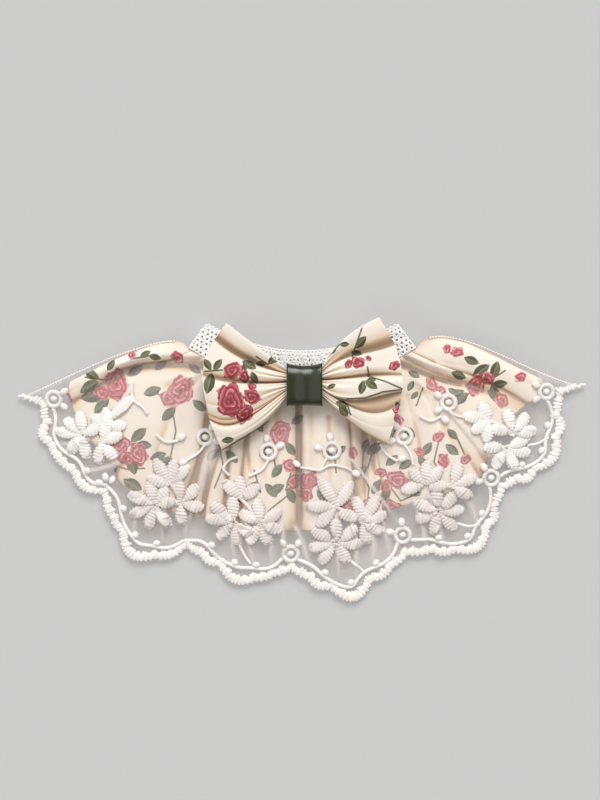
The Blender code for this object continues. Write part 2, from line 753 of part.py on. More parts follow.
def build_knot(material, collection):
    rings = []
    for along, squeeze in ((-1, 0.0), (0, KNOT_WAIST), (1, 0.0)):
        rings.append(knot_ring(BOW_MIDDLE_X + along * KNOT_HALF_WIDTH, 0.0, squeeze))
    for along, squeeze in ((1, 0.0), (0, KNOT_WAIST), (-1, 0.0)):
        rings.append(knot_ring(BOW_MIDDLE_X + along * KNOT_HALF_WIDTH, RIBBON_THICK, squeeze))
    return object_from(loft(rings, closed_rings=False), "bow_knot", material, collection)


def surface_under(made):
    """A lookup of the height of an object's upper side at plan points."""
    mesh = made.data
    tree = BVHTree.FromPolygons([v.co for v in mesh.vertices], [p.vertices for p in mesh.polygons])

    def height(x, y):
        hit = tree.ray_cast(Vector((x, y, ABOVE_ALL)) * MM, Vector((0, 0, -1)))[0]
        return None if hit is None else hit.z / MM

    return height


def drape(bm, height, clear):
    """Lays a mesh, drawn flat over z = 0, on the surface below it."""
    for vertex in bm.verts:
        x, y, z = vertex.co / MM
        ground = height(x, y)
        vertex.co.z = ((BACK_NET_TOP if ground is None else ground) + clear + z) * MM
    return bm


def placed(table_points, place):
    """Motif points moved to a scallop by the three anchors."""
    a, b, c = (np.array(p) for p in MOTIF_ANCHORS)
    first, second, node = (np.array(place[k : k + 2]) for k in (0, 2, 4))
    frame = np.linalg.inv(np.stack([b - a, c - a], axis=1))
    return first + (np.asarray(table_points, float) - a) @ frame.T @ np.stack([second - first, node - first])


def dome(outline_points, centre, rise, shoulder=None):
    """A low raised shape over z = 0: an upright edge, a shoulder ring where it has one, and a crown."""
    edge = np.asarray(outline_points, float)
    middle = np.asarray(centre, float)
    bm = bmesh.new()
    count = len(edge)

    def ring(share, z):
        flat = middle + (edge - middle) * share
        return [bm.verts.new(p) for p in metres(np.concatenate([flat, np.full((count, 1), z)], axis=-1))]

    loops = [ring(1.0, 0.0), ring(1.0, rise * MOTIF_EDGE)]
    if shoulder:
        loops.append(ring(shoulder, rise))
    low, high = (bm.verts.new(metres([(*middle, z)])[0]) for z in (0.0, rise * CROWN))
    for i in range(count):
        j = (i + 1) % count
        for inner, outer in zip(loops, loops[1:]):
            bm.faces.new((inner[i], inner[j], outer[j], outer[i]))
        bm.faces.new((low, loops[0][j], loops[0][i]))
        bm.faces.new((high, loops[-1][i], loops[-1][j]))
    return bm


def flower_outline(x, y, radius, petals, turn):
    points = []
    for k in range(petals * FLOWER_STEPS):
        angle = 2 * math.pi * k / (petals * FLOWER_STEPS)
        reach = PETAL_NOTCH + (1 - PETAL_NOTCH) * abs(math.cos(petals * angle / 2)) ** PETAL_BLUNTNESS
        angle += math.radians(turn)
        points.append((x + radius * reach * math.cos(angle), y + radius * reach * math.sin(angle)))
    return points


def leaf_outline(from_x, from_y, to_x, to_y, width):
    start = np.array([from_x, from_y])
    way = np.array([to_x, to_y]) - start
    side = np.array([-way[1], way[0]]) / np.linalg.norm(way) * width / 2
    return [start + way * t + side * w for t, w in LEAF_SHAPE]


def build_motif(index, place, height, material, collection, cutters):
    """One scallop's flowers, leaves and stem, joined to one piece and laid on the net."""
    shapes = [(flower_outline(*row), row[:2], FLOWER_SHOULDER) for row in FLOWERS]
    for row in LEAVES:
        shapes.append((leaf_outline(*row), ((row[0] + row[2]) / 2, (row[1] + row[3]) / 2), None))
    made = None
    for k, (points, centre, shoulder) in enumerate(shapes):
        bm = dome(placed(points, place), placed(centre, place), MOTIF_RISE - SHAPE_STEP * k, shoulder)
        drape(bm, height, MOTIF_CLEAR + SHAPE_STEP / 4 * k)
        if made is None:
            made = object_from(bm, f"embroidery_{index}", material, collection)
            continue
        other = object_from(bm, f"embroidery_{index}_shape_{k}", material, cutters)
        other.hide_render = True
        other.display_type = "WIRE"
        union = made.modifiers.new(f"join {k}", "BOOLEAN")
        union.operation = "UNION"
        union.object = other
    return made


def build_ring(index, x, y, radius, height, material, collection):
    """A corded ring laid on the net."""
    rings = []
    for k in range(RING_SIDES):
        angle = 2 * math.pi * k / RING_SIDES
        section = []
        for m in range(RING_CORD_SIDES):
            turn = 2 * math.pi * m / RING_CORD_SIDES
            out = radius + RING_CORD * math.cos(turn)
            section.append((x + out * math.cos(angle), y + out * math.sin(angle), RING_CORD * math.sin(turn)))
        rings.append(section)
    bm = drape(loft(rings, closed_rings=False), height, RING_CLEAR + RING_CORD)
    return object_from(bm, f"ring_{index}", material, collection)


def main():
    for existing in list(bpy.data.objects):
        bpy.data.objects.remove(existing)
    collar = new_collection("pet_lace_collar")
    cutters = new_collection("cutters", hidden=True)
    net = new_material("white net", (0.86, 0.84, 0.82), 0.75)
    thread = new_material("white thread", (0.92, 0.90, 0.87), 0.6)
    cotton = new_material("printed cotton", (0.90, 0.82, 0.70), 0.7)
    tape = new_material("crochet tape", (0.90, 0.88, 0.86), 0.8)
    satin = new_material("green satin", (0.035, 0.07, 0.025), 0.35)
    build_lace_back(net, collar)
    build_ruffle_back(cotton, collar)
    build_neckband(tape, collar)
    build_ruffle_front(cotton, collar)
    lace = build_lace_front(net, collar)
    build_bow_back(cotton, collar)
    build_bow(cotton, collar)
    build_knot(satin, collar)
    height = surface_under(lace)
    for index, place in enumerate(MOTIF_PLACES, start=1):
        build_motif(index, place, height, thread, collar, cutters)
    for index, (x, y, radius) in enumerate(RINGS, start=1):
        build_ring(index, x, y, radius, height, thread, collar)


main()
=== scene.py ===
"""Pet lace collar, laid flat and seen from straight above.

The sections follow the collar as it is put together: the hidden back half, the neck tape, the front
ruffle, the lace flounce with its embroidery, then the bow and its knot. Tables and sizes are in
millimetres, and the meshes, sheets, floor and camera in metres. +Y points from the hem to the neck and
+Z up.
"""

import math
from functools import partial

import bpy
import numpy as np
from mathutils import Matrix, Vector
from mathutils.bvhtree import BVHTree


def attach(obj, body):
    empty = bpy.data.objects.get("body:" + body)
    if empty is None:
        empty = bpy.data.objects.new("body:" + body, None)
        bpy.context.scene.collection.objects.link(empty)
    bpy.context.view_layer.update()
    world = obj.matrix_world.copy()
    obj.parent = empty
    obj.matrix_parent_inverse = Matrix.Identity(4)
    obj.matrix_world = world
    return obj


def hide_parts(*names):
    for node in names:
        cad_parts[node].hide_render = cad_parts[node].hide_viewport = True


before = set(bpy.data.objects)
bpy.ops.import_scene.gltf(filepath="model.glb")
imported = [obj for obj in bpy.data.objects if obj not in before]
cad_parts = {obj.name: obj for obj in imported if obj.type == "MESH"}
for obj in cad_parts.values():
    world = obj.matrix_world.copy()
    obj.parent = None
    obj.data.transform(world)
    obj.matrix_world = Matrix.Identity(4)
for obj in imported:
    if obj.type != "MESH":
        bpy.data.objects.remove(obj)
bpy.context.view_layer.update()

# Back half of the lace flounce: white cotton net, cut with a scalloped hem and edged with a machine
# satin-stitched border. It lies flat on the table beneath everything else, and only its edge can show.

MM = 0.001
UP = (0.0, 0.0, 1.0)
NECK_HALF = 52.4
NECK_LOW_Y = 35.9
NECK_RISE = 15.6

# Where each lobe of the hem starts, left tip to right tip, and how far it swells outwards
HEM_LOBES = np.array(
    (
        (-129.8, 29.0, 0.0), (-120.2, 24.9, 0.7), (-119.5, 18.1, 3.2), (-117.3, 6.9, 1.6),
        (-106.3, -6.0, 3.7), (-91.7, -15.2, 1.4), (-88.4, -26.7, 0.9), (-84.3, -32.6, 6.9),
        (-67.1, -45.4, 2.5), (-53.1, -39.8, 0.7), (-47.0, -44.1, 1.6), (-38.9, -48.5, 4.8),
        (-20.8, -55.6, 0.9), (-12.1, -53.3, 0.7), (-5.2, -50.6, 0.7), (2.2, -54.7, 2.3),
        (12.5, -59.3, 7.4), (32.8, -55.6, 1.8), (42.2, -49.2, 0.7), (48.6, -43.7, 0.9),
        (59.5, -42.5, 1.6), (70.5, -42.5, 6.0), (86.6, -30.3, 2.5), (89.6, -20.9, 0.9),
        (93.3, -12.9, 0.7), (98.6, -10.1, 2.8), (108.0, -5.0, 4.8), (118.8, 11.1, 2.5),
        (118.7, 21.4, 0.5), (119.9, 30.4, 0.0), (129.8, 34.1, 0.0),
    )
)
# How far the folded ends bow up from a straight line, and where along it most of that is
END_BOW = {"left": (7.0, 0.35, 1.17), "right": (9.0, 0.5, 1.9)}
END_REACH = 0.14
END_PINCH = 0.08
# Where each share of the hem is gathered to on the neck seam, as (hem, neck)
GATHERS = ((0.0, 0.0), (0.33, 0.10), (0.40, 0.26), (0.50, 0.50), (0.58, 0.70), (0.68, 0.90), (1.0, 1.0))
BACK_NET_HEIGHT = 0.55
BACK_STEP = 2.0
BACK_ROWS = 40
BACK_INSET = 1.8
BACK_BORDER_SPARE = 0.4
BACK_BORDER_HEIGHT = 0.9
BACK_BORDER_SHARE = 0.8  # of the front border's width
BACK_BORDER_ENDS = slice(4, -4)  # it stops four stitches before each tip
BORDER_STITCH_STEP = 1.3
BORDER_STITCH = (4.2, 2.0, 1.2)  # length across the border, width along it, height
BORDER_TOOTH = 0.6
BORDER_RIPPLE = 0.65
BORDER_RIPPLE_STEPS = 4.1  # stitches to a small scallop of the border's inner edge
BORDER_TIP = 7.0  # stitches over which the border tapers to each tip
BORDER_TIP_SHARE = 0.35
BORDER_UNEVEN = 0.14  # share by which the stitches differ in height, and a third of it in length
BORDER_UNEVEN_TURN = 2.4


def unit(vectors):
    return vectors / np.maximum(np.linalg.norm(vectors, axis=-1, keepdims=True), 1e-9)


def left_of(ways):
    """The ways, turned a quarter to the left."""
    return ways[..., ::-1] * (-1, 1)


def neck_y(x):
    """Height on the page of the neck seam at x."""
    return NECK_LOW_Y + NECK_RISE * (x / NECK_HALF) ** 2


def hem_line(step):
    """Shares along the hem and its points, about a step apart."""
    corners, swells = HEM_LOBES[:, :2], HEM_LOBES[:, 2]
    lengths = np.linalg.norm(np.diff(corners, axis=0), axis=1)
    starts = np.concatenate([[0.0], np.cumsum(lengths)]) / lengths.sum()
    shares, points = [], []
    for i, length in enumerate(lengths):
        t = np.arange(max(2, round((length + 2 * swells[i]) / step)))
        t = t / len(t)
        way = corners[i + 1] - corners[i]
        outward = np.array([way[1], -way[0]]) / length
        points.append(corners[i] + way * t[:, None] + outward * (swells[i] * 4 * t * (1 - t))[:, None])
        shares.append(starts[i] + (starts[i + 1] - starts[i]) * t)
    return np.concatenate([*shares, [1.0]]), np.concatenate([*points, corners[-1:]])


def neck_point(share):
    """The point of the neck seam that the cloth at this share of the hem is gathered to."""
    x = NECK_HALF * (2 * np.interp(share, *zip(*GATHERS)) - 1)
    return np.stack([x, neck_y(x)], axis=-1)


def end_bow(share, fall):
    """How far the cloth near a folded end bows up, from the neck seam (fall 0) to the hem (fall 1)."""
    total = 0.0
    for side, away in (("left", share), ("right", 1 - share)):
        height, early, late = END_BOW[side]
        peak = early / (early + late)
        most = peak**early * (1 - peak) ** late
        reach = END_REACH * np.minimum(fall + END_PINCH, 1.0)
        total = total + height / most * fall**early * (1 - fall) ** late * np.exp(-((away / reach) ** 2))
    return total


def flounce_points(share, hem, fall):
    """Plan points of the flounce at these shares of the hem, hem points and falls: a row for each fall."""
    start = neck_point(share)
    way = hem - start
    across = unit(-left_of(way))
    across = np.where(across[..., 1:] < 0, -across, across)
    return start + way * fall[..., None] + across * end_bow(share, fall)[..., None]


def with_height(points, height):
    return np.concatenate([points, np.broadcast_to(height, points.shape[:-1])[..., None]], axis=-1)


def placed(name, content):
    """A new object in the scene: a mesh, a lamp or a camera."""
    made = bpy.data.objects.new(name, content)
    bpy.context.scene.collection.objects.link(made)
    return made


def on_collar(name, mesh):
    """An object of the mesh, on the collar's root body."""
    made = placed(name, mesh)
    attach(made, "root")
    return made


def mesh_object(name, points, faces, material):
    """A smooth object from points in millimetres and an array of faces."""
    mesh = bpy.data.meshes.new(name)
    mesh.from_pydata(np.asarray(points).reshape(-1, 3) * MM, [], faces.tolist())
    mesh.materials.append(material)
    mesh.shade_smooth()
    return on_collar(name, mesh)


def grid_faces(rows, columns, start=0):
    """Quads of a grid of points that face up where rows run down the page and columns to the right."""
    corner = start + np.arange(rows - 1)[:, None] * columns + np.arange(columns - 1)
    return np.stack([corner, corner + columns, corner + columns + 1, corner + 1], axis=-1).reshape(-1, 4)


def shell_faces(rows, columns):
    """Quads of a closed shell: an upper grid, a lower grid after it and the rim between them."""
    count = rows * columns
    upper = grid_faces(rows, columns)
    lower = grid_faces(rows, columns, count)[:, ::-1]
    index = np.arange(count).reshape(rows, columns)
    rim = np.concatenate([index[0, ::-1], index[1:, 0], index[-1, 1:], index[-2:0:-1, -1]])
    after = np.roll(rim, -1)
    return np.concatenate([upper, lower, np.stack([after, rim, rim + count, after + count], axis=-1)])


def socket_named(tree, name, in_out="INPUT"):
    for item in tree.interface.items_tree:
        if item.name == name and item.in_out == in_out:
            return item.identifier
    raise KeyError(name)


def read_vector(nodes, name):
    read = nodes.new("GeometryNodeInputNamedAttribute")
    read.data_type = "FLOAT_VECTOR"
    read.inputs["Name"].default_value = name
    return read.outputs["Attribute"]


def stitch_tree(name, add_shape):
    """Nodes that lay one small shape on every point of a mesh, turned to its way and up and sized by it."""
    tree = bpy.data.node_groups.new(name, "GeometryNodeTree")
    for given_name, kind in (("Points", "Geometry"), ("Thread", "Material"), ("Sides", "Int")):
        tree.interface.new_socket(given_name, in_out="INPUT", socket_type="NodeSocket" + kind)
    tree.interface.new_socket("Stitches", in_out="OUTPUT", socket_type="NodeSocketGeometry")
    nodes, links = tree.nodes, tree.links
    given = nodes.new("NodeGroupInput")
    turned = None
    for attribute, axis in (("way", "X"), ("up", "Z")):
        align = nodes.new("FunctionNodeAlignRotationToVector")
        align.axis = axis
        links.new(read_vector(nodes, attribute), align.inputs["Vector"])
        if turned:
            align.pivot_axis = "X"
            links.new(turned, align.inputs["Rotation"])
        turned = align.outputs["Rotation"]
    lay = nodes.new("GeometryNodeInstanceOnPoints")
    links.new(given.outputs["Points"], lay.inputs["Points"])
    links.new(add_shape(nodes, links, given), lay.inputs["Instance"])
    links.new(turned, lay.inputs["Rotation"])
    links.new(read_vector(nodes, "size"), lay.inputs["Scale"])
    real = nodes.new("GeometryNodeRealizeInstances")
    smooth = nodes.new("GeometryNodeSetShadeSmooth")
    paint = nodes.new("GeometryNodeSetMaterial")
    out = nodes.new("NodeGroupOutput")
    links.new(lay.outputs["Instances"], real.inputs["Geometry"])
    links.new(real.outputs["Geometry"], smooth.inputs["Geometry"])
    links.new(smooth.outputs["Geometry"], paint.inputs["Geometry"])
    links.new(given.outputs["Thread"], paint.inputs["Material"])
    links.new(paint.outputs["Geometry"], out.inputs["Stitches"])
    return tree


def thread_bead(nodes, links, given):
    """One satin stitch: a flattened round bead, one unit long."""
    bead = nodes.new("GeometryNodeMeshUVSphere")
    bead.inputs["Rings"].default_value = 4
    bead.inputs["Radius"].default_value = 0.5
    links.new(given.outputs["Sides"], bead.inputs["Segments"])
    turn = nodes.new("GeometryNodeTransform")
    turn.inputs["Rotation"].default_value = (0.0, math.pi / 2, 0.0)
    links.new(bead.outputs["Mesh"], turn.inputs["Geometry"])
    return turn.outputs["Geometry"]


def grown(name, tree, stitches, material, sides):
    """A plain mesh object of the tree's shape on each stitch, a row of place, way, up and size."""
    rows = np.concatenate([np.asarray(part, float).reshape(-1, 12) for part in stitches])
    source = bpy.data.meshes.new(name + " points")
    source.from_pydata(rows[:, :3] * MM, [], [])
    for k, attribute in enumerate(("way", "up", "size"), start=1):
        values = rows[:, 3 * k : 3 * k + 3] * (MM if attribute == "size" else 1.0)
        layer = source.attributes.new(attribute, "FLOAT_VECTOR", "POINT")
        layer.data.foreach_set("vector", np.ascontiguousarray(values, np.float32).ravel())
    holder = placed(name + " source", source)
    modifier = holder.modifiers.new("stitches", "NODES")
    modifier.node_group = tree
    modifier[socket_named(tree, "Thread")] = material
    modifier[socket_named(tree, "Sides")] = sides
    evaluated = holder.evaluated_get(bpy.context.evaluated_depsgraph_get())
    mesh = bpy.data.meshes.new_from_object(evaluated)
    bpy.data.objects.remove(holder)
    mesh.name = name
    return on_collar(name, mesh)


def stitch_rows(places, ways, ups, sizes):
    """Rows of place, way, up and size, with single values spread over all the places."""
    places = np.asarray(places, float).reshape(-1, 3)
    return np.concatenate([places] + [np.broadcast_to(v, places.shape) for v in (ways, ups, sizes)], axis=1)


def shader_material(name, colour, roughness):
    """A material, its principled shader, a short way to add a node, and its tree's links."""
    material = bpy.data.materials.new(name)
    material.use_nodes = True
    tree = material.node_tree
    shader = tree.nodes["Principled BSDF"]
    shader.inputs["Base Color"].default_value = (*colour, 1.0)
    shader.inputs["Roughness"].default_value = roughness

    def add(kind, settings=None, **inputs):
        node = tree.nodes.new("ShaderNode" + kind)
        for key, value in (settings or {}).items():
            setattr(node, key, value)
        for key, value in inputs.items():
            slot = node.inputs[int(key[1:])] if key[0] == "i" and key[1:].isdigit() else node.inputs[key]
            if isinstance(value, bpy.types.NodeSocket):
                tree.links.new(value, slot)
            else:
                slot.default_value = value
        return node

    return material, shader, add, tree.links


def net_material(name, colour):
    """Net: a transparent cloth with a fine honeycomb of threads."""
    material, shader, add, links = shader_material(name, colour, 0.7)
    where = add("TexCoord").outputs["Object"]
    flat = {"feature": "DISTANCE_TO_EDGE", "voronoi_dimensions": "2D"}
    cells = add("TexVoronoi", flat, Vector=where, Scale=1800.0, Randomness=0.7)
    broad = add("TexNoise", Vector=where, Scale=60.0, Detail=2.0)
    folded = add("Attribute", {"attribute_name": "folded"}).outputs["Fac"]
    even = add("MapRange", i0=broad.outputs["Fac"], i1=0.3, i2=0.7, i3=0.045, i4=0.075)
    drawn_out = add("MapRange", i0=folded, i1=-1.0, i2=0.0, i3=0.0, i4=even.outputs["Result"])
    width = add("MapRange", i0=folded, i1=0.0, i2=1.0, i3=drawn_out.outputs["Result"], i4=0.36)
    thread = add("Math", {"operation": "LESS_THAN"}, i0=cells.outputs["Distance"], i1=width.outputs["Result"])
    clear = add("BsdfTransparent").outputs["BSDF"]
    mix = add("MixShader", i0=thread.outputs["Value"], i1=clear, i2=shader.outputs["BSDF"])
    shader.inputs["Sheen Weight"].default_value = 0.3
    links.new(mix.outputs["Shader"], material.node_tree.nodes["Material Output"].inputs["Surface"])
    return material


def thread_material(name, dim, bright):
    """Embroidery thread with a soft silky shine and a slight unevenness between two tones."""
    material, shader, add, links = shader_material(name, bright, 0.5)
    where = add("TexCoord").outputs["Object"]
    tone = add("TexNoise", Vector=where, Scale=140.0, Detail=3.0)
    ramp = add("MapRange", i0=tone.outputs["Fac"], i1=0.3, i2=0.7, i3=0.0, i4=1.0)
    colour = add("Mix", {"data_type": "RGBA"}, Factor=ramp.outputs["Result"])
    colour.inputs[6].default_value = (*dim, 1.0)
    colour.inputs[7].default_value = (*bright, 1.0)
    links.new(colour.outputs[2], shader.inputs["Base Color"])
    strands = add("TexNoise", Vector=where, Scale=2600.0, Detail=1.0)
    bump = add("Bump", Height=strands.outputs["Fac"], Strength=0.25, Distance=0.0002)
    links.new(bump.outputs["Normal"], shader.inputs["Normal"])
    shader.inputs["Sheen Weight"].default_value = 0.4
    return material


def blurred(values, reach):
    """A running mean of rows of values."""
    wide = np.concatenate([np.repeat(values[:1], reach, 0), values, np.repeat(values[-1:], reach, 0)])
    sums = np.cumsum(np.concatenate([np.zeros_like(wide[:1]), wide]), axis=0)
    return (sums[2 * reach + 1 :] - sums[: -2 * reach - 1]) / (2 * reach + 1)


def border_stitches(hems, height_at, spare, share=1.0):
    """Satin stitches across the hem, every other one longer so that the edge is toothed."""
    way = unit(blurred(np.gradient(hems, axis=0), 5))
    inward = left_of(way)
    length, width, height = BORDER_STITCH
    number = np.arange(len(hems))
    tooth = np.where(number % 2 == 0, BORDER_TOOTH, 0.0)
    ripple = BORDER_RIPPLE * np.sin(2 * math.pi * number / BORDER_RIPPLE_STEPS)
    taper = np.minimum(number, number[::-1]) / BORDER_TIP
    taper = BORDER_TIP_SHARE + (1 - BORDER_TIP_SHARE) * np.minimum(taper, 1.0)
    uneven = 1 + BORDER_UNEVEN * np.sin(number * BORDER_UNEVEN_TURN)
    lengths = (length * share * (1 + (uneven - 1) / 3) + tooth + ripple) * taper
    middle = hems + inward * (spare + BORDER_TOOTH - tooth + lengths / 2)[:, None]
    places = with_height(middle, height_at(middle))
    sizes = np.stack([lengths, np.full(len(hems), width), height * uneven], axis=-1)
    return stitch_rows(places, with_height(inward, 0.0), UP, sizes)


# The back net is the white net darkened: painted shade, as the back half lies under the front
back_net = net_material("back net, painted shade", (0.62, 0.555, 0.525))
white_thread = thread_material("white thread", (0.86, 0.80, 0.755), (0.93, 0.885, 0.85))
stitch_nodes = stitch_tree("satin stitches", thread_bead)

hem_shares, hem_points = hem_line(BACK_STEP)
edge_falls = 1 - BACK_INSET / np.linalg.norm(hem_points - neck_point(hem_shares), axis=-1)
back_plan = flounce_points(hem_shares, hem_points, np.linspace(0, 1, BACK_ROWS)[:, None] * edge_falls)
back_points = with_height(back_plan, BACK_NET_HEIGHT)
lace_back = mesh_object("lace_back_net", back_points, grid_faces(*back_plan.shape[:2]), back_net)
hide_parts("lace_back")
_, fine_hem = hem_line(BORDER_STITCH_STEP)
border = border_stitches(
    fine_hem[BACK_BORDER_ENDS], lambda plan: BACK_BORDER_HEIGHT, BACK_BORDER_SPARE, BACK_BORDER_SHARE
)
back_border = grown("lace_back_border", stitch_nodes, [border], white_thread, 7)

# Back half of the ruffle: printed plain-weave cotton, hemmed and gathered to the tape. It is pressed
# flat between the two nets, so that only slivers of it can be seen.

# Hem of the ruffle, left fold to right fold
RUFFLE_HEM = np.array(
    (
        (-108.7, 37.3), (-107.8, 31.8), (-104.1, 22.6), (-97.6, 10.6), (-87.5, -0.4), (-83.8, -9.6),
        (-74.6, -16.5), (-63.1, -21.6), (-50.7, -25.3), (-40.1, -27.1), (-24.0, -28.5), (-10.7, -30.3),
        (-4.7, -32.6), (4.5, -31.3), (15.1, -28.0), (31.2, -24.8), (45.0, -20.7), (58.8, -16.5),
        (70.3, -12.4), (81.8, -7.8), (85.0, 0.5), (83.6, 9.7), (91.0, 16.6), (102.5, 25.8), (109.4, 31.3),
        (111.7, 35.9),
    )
)
BACK_RUFFLE_LOW = 1.5
BACK_RUFFLE_HIGH = 2.9
BACK_RUFFLE_INSET = 2.6
BACK_RUFFLE_ENDS = slice(3, -3)  # it stops three steps of the hem before each tip
BACK_RUFFLE_ROWS = 36
BACK_RUFFLE_RIPPLE = 0.2
BACK_RUFFLE_RIPPLES = 90.0

# The print. Roses as x, y and radius; leaves and stems as x and y of the foot and of the tip
RUFFLE_ROSES = (
    (-85.0, 35.0, 7.1), (-91.0, 31.5, 4.2), (-55.5, 32.5, 7.3), (-61.0, 28.5, 4.2), (-83.0, 7.5, 5.0),
    (-74.5, 3.5, 5.4), (-80.5, 1.5, 4.0), (-10.0, 13.0, 5.9), (-5.5, -2.0, 3.8), (3.0, -9.0, 5.4),
    (1.5, -14.5, 4.1), (21.5, -20.5, 4.0), (20.5, -27.0, 3.8), (43.5, -8.5, 5.4), (38.5, -11.0, 3.5),
    (41.5, -22.0, 5.3), (31.0, -20.0, 4.7), (23.0, 4.0, 2.8), (36.0, -5.0, 2.8), (79.5, 35.0, 5.4),
    (84.5, 38.0, 3.8), (62.0, 11.5, 3.1), (64.5, 0.5, 3.5), (70.5, 50.0, 3.1), (66.0, 51.5, 2.4),
    (43.0, 19.0, 3.3), (-108.5, 28.0, 3.5), (91.0, 28.0, 3.8), (-65.5, -16.5, 3.1), (-28.5, -18.0, 3.5),
    (59.0, -8.5, 4.0), (-77.5, 49.0, 2.4), (-57.0, 47.6, 3.3), (99.5, 38.5, 2.8), (59.0, 35.5, 3.4),
    (62.5, 32.5, 2.9), (-3.8, -9.5, 3.6), (53.5, 4.5, 2.6), (74.5, 1.0, 2.8),
)
RUFFLE_LEAVES = (
    (-93.0, 37.0, -99.0, 33.0), (-92.5, 37.5, -97.5, 40.5), (-88.0, 29.0, -93.0, 24.0),
    (-80.0, 39.0, -75.0, 42.5), (-64.0, 33.5, -70.0, 31.5), (-57.5, 25.0, -62.0, 20.5),
    (-50.0, 28.0, -45.5, 24.5), (-88.0, 11.0, -93.0, 14.5), (-78.0, 9.0, -73.0, 13.5),
    (-76.0, 8.0, -70.5, 7.5), (-69.5, 1.0, -64.0, 3.0), (-84.0, -2.0, -89.0, -5.0),
    (-60.0, 2.5, -64.5, -2.0), (-5.0, 17.0, -1.0, 20.0), (-14.0, 8.0, -18.0, 4.0), (-7.5, 9.0, -4.5, 4.5),
    (-1.0, -6.0, -5.5, -9.0), (6.5, -13.0, 10.5, -17.0), (28.0, 3.5, 29.5, 8.5), (29.5, 3.0, 34.5, 7.0),
    (30.0, -2.0, 26.0, -5.5), (36.0, -8.0, 33.0, -13.0), (40.5, -13.0, 36.5, -17.0),
    (47.0, -12.5, 52.0, -14.5), (44.0, -3.5, 48.5, -0.5), (35.5, -23.0, 38.5, -27.0),
    (50.0, -4.0, 54.5, -6.5), (84.5, 32.5, 89.5, 29.0), (75.5, 31.5, 71.5, 27.5),
    (86.0, 34.5, 91.5, 35.5), (75.0, 38.0, 70.0, 40.0), (65.0, 8.0, 69.5, 4.5), (59.0, 9.0, 56.0, 4.5),
    (73.5, 47.5, 78.5, 45.5), (41.0, 15.0, 38.0, 11.0), (46.0, 16.0, 50.0, 12.5),
    (-20.0, -9.0, -24.0, -13.0), (-17.0, -10.0, -13.0, -14.5), (-38.0, 6.0, -42.0, 2.0),
    (-35.0, 5.0, -31.0, 1.0), (54.0, 38.5, 50.0, 40.5), (51.0, 37.0, 49.0, 33.5),
    (53.0, 32.0, 50.5, 29.5), (66.5, 33.5, 70.0, 31.0), (-74.0, 47.5, -70.5, 49.6),
    (-70.0, 48.4, -66.0, 47.4), (-89.0, 41.5, -86.5, 45.0), (-79.0, 4.6, -77.0, -3.0),
    (-82.0, -8.0, -75.5, -11.5), (-52.0, 44.5, -48.0, 41.5), (-22.0, 19.0, -19.0, 15.0),
    (-21.5, 20.0, -25.5, 17.5), (15.0, 3.0, 18.5, 6.0), (14.5, 2.0, 10.5, 4.0), (77.5, 38.5, 83.0, 42.5),
    (86.5, 37.5, 88.5, 43.5), (86.5, 35.5, 88.5, 29.0), (74.0, 32.5, 68.5, 30.0),
    (-89.5, 31.0, -98.0, 29.5), (-8.0, -10.5, -13.5, -13.5), (-6.5, -11.5, -4.5, -17.0),
    (-9.0, -1.0, -12.5, -5.5), (-62.0, 46.0, -66.0, 43.0), (38.0, -2.0, 42.0, 1.5),
    (57.0, -3.0, 54.0, 1.0), (71.0, 10.0, 67.5, 13.5),
)
RUFFLE_STEMS = (
    (-15.5, -22.5, -6.0, -15.0), (87.0, 38.0, 92.5, 41.5), (71.0, 10.0, 74.0, 3.0),
    (57.0, -3.0, 60.0, -10.0), (-22.0, 20.0, -19.5, 27.0), (14.8, 3.0, 15.5, -5.0),
    (55.0, 33.5, 52.0, 25.5), (-78.0, 46.8, -68.0, 48.6), (-99.0, 38.5, -88.0, 37.0),
    (-66.0, 31.0, -58.5, 27.0), (-59.5, 26.0, -57.5, 14.0), (-57.5, 14.0, -60.0, 2.0),
    (-60.0, 2.0, -56.0, -8.0), (-88.0, -1.0, -80.0, -3.5), (-80.0, -3.5, -72.0, -3.0),
    (-10.0, 8.5, -13.0, 2.0), (-13.0, 2.0, -11.5, -6.0), (-5.0, -5.0, -7.5, -13.0),
    (28.0, 4.5, 27.5, -4.0), (27.5, -4.0, 30.5, -12.0), (30.5, -12.0, 30.0, -18.0),
    (32.5, 5.5, 30.0, -3.0), (40.5, -12.0, 45.0, -18.0), (45.0, -18.0, 54.0, -14.0),
    (71.0, 27.0, 76.0, 31.0), (62.0, 9.0, 60.0, 0.0), (60.0, 0.0, 63.0, -6.0), (43.0, 16.5, 40.0, 8.0),
    (-22.0, -4.0, -19.0, -14.0), (-38.0, 8.0, -36.0, -2.0), (-36.0, -2.0, -40.0, -12.0),
)
RUFFLE_LEAF_GROWTH = 0.42
ROSE_TURN = 1.3
ROSE_SQUASH = (1.12, 0.86)
ROSE_RINGS = 0.52  # rings of petals for each millimetre of a rose's radius
FEWEST_RINGS = 1.2
MOST_RINGS = 3.4
LEAF_RATIO = 0.47  # about how wide a leaf is for its length
STEM_HALF = 0.36
# Colour of the painted shade in a fold, from its brim (0) to its floor (1): light through cream cotton turns
# warm
FOLD_SHADES = (
    (0.0, (1.0, 1.0, 1.0)), (0.3, (0.86, 0.70, 0.55)), (0.6, (0.55, 0.43, 0.33)), (1.0, (0.36, 0.28, 0.22))
)


def lengthened(rows, share):
    """The same leaves, each with its tip further out by a share of its length."""
    rows = np.array(rows, float)
    rows[:, 2:4] += (rows[:, 2:4] - rows[:, :2]) * share
    return rows


def corner_attribute(mesh, name, values):
    """Writes one vector for each face corner."""
    layer = mesh.attributes.new(name, "FLOAT_VECTOR", "CORNER")
    layer.data.foreach_set("vector", np.ascontiguousarray(values, np.float32).ravel())


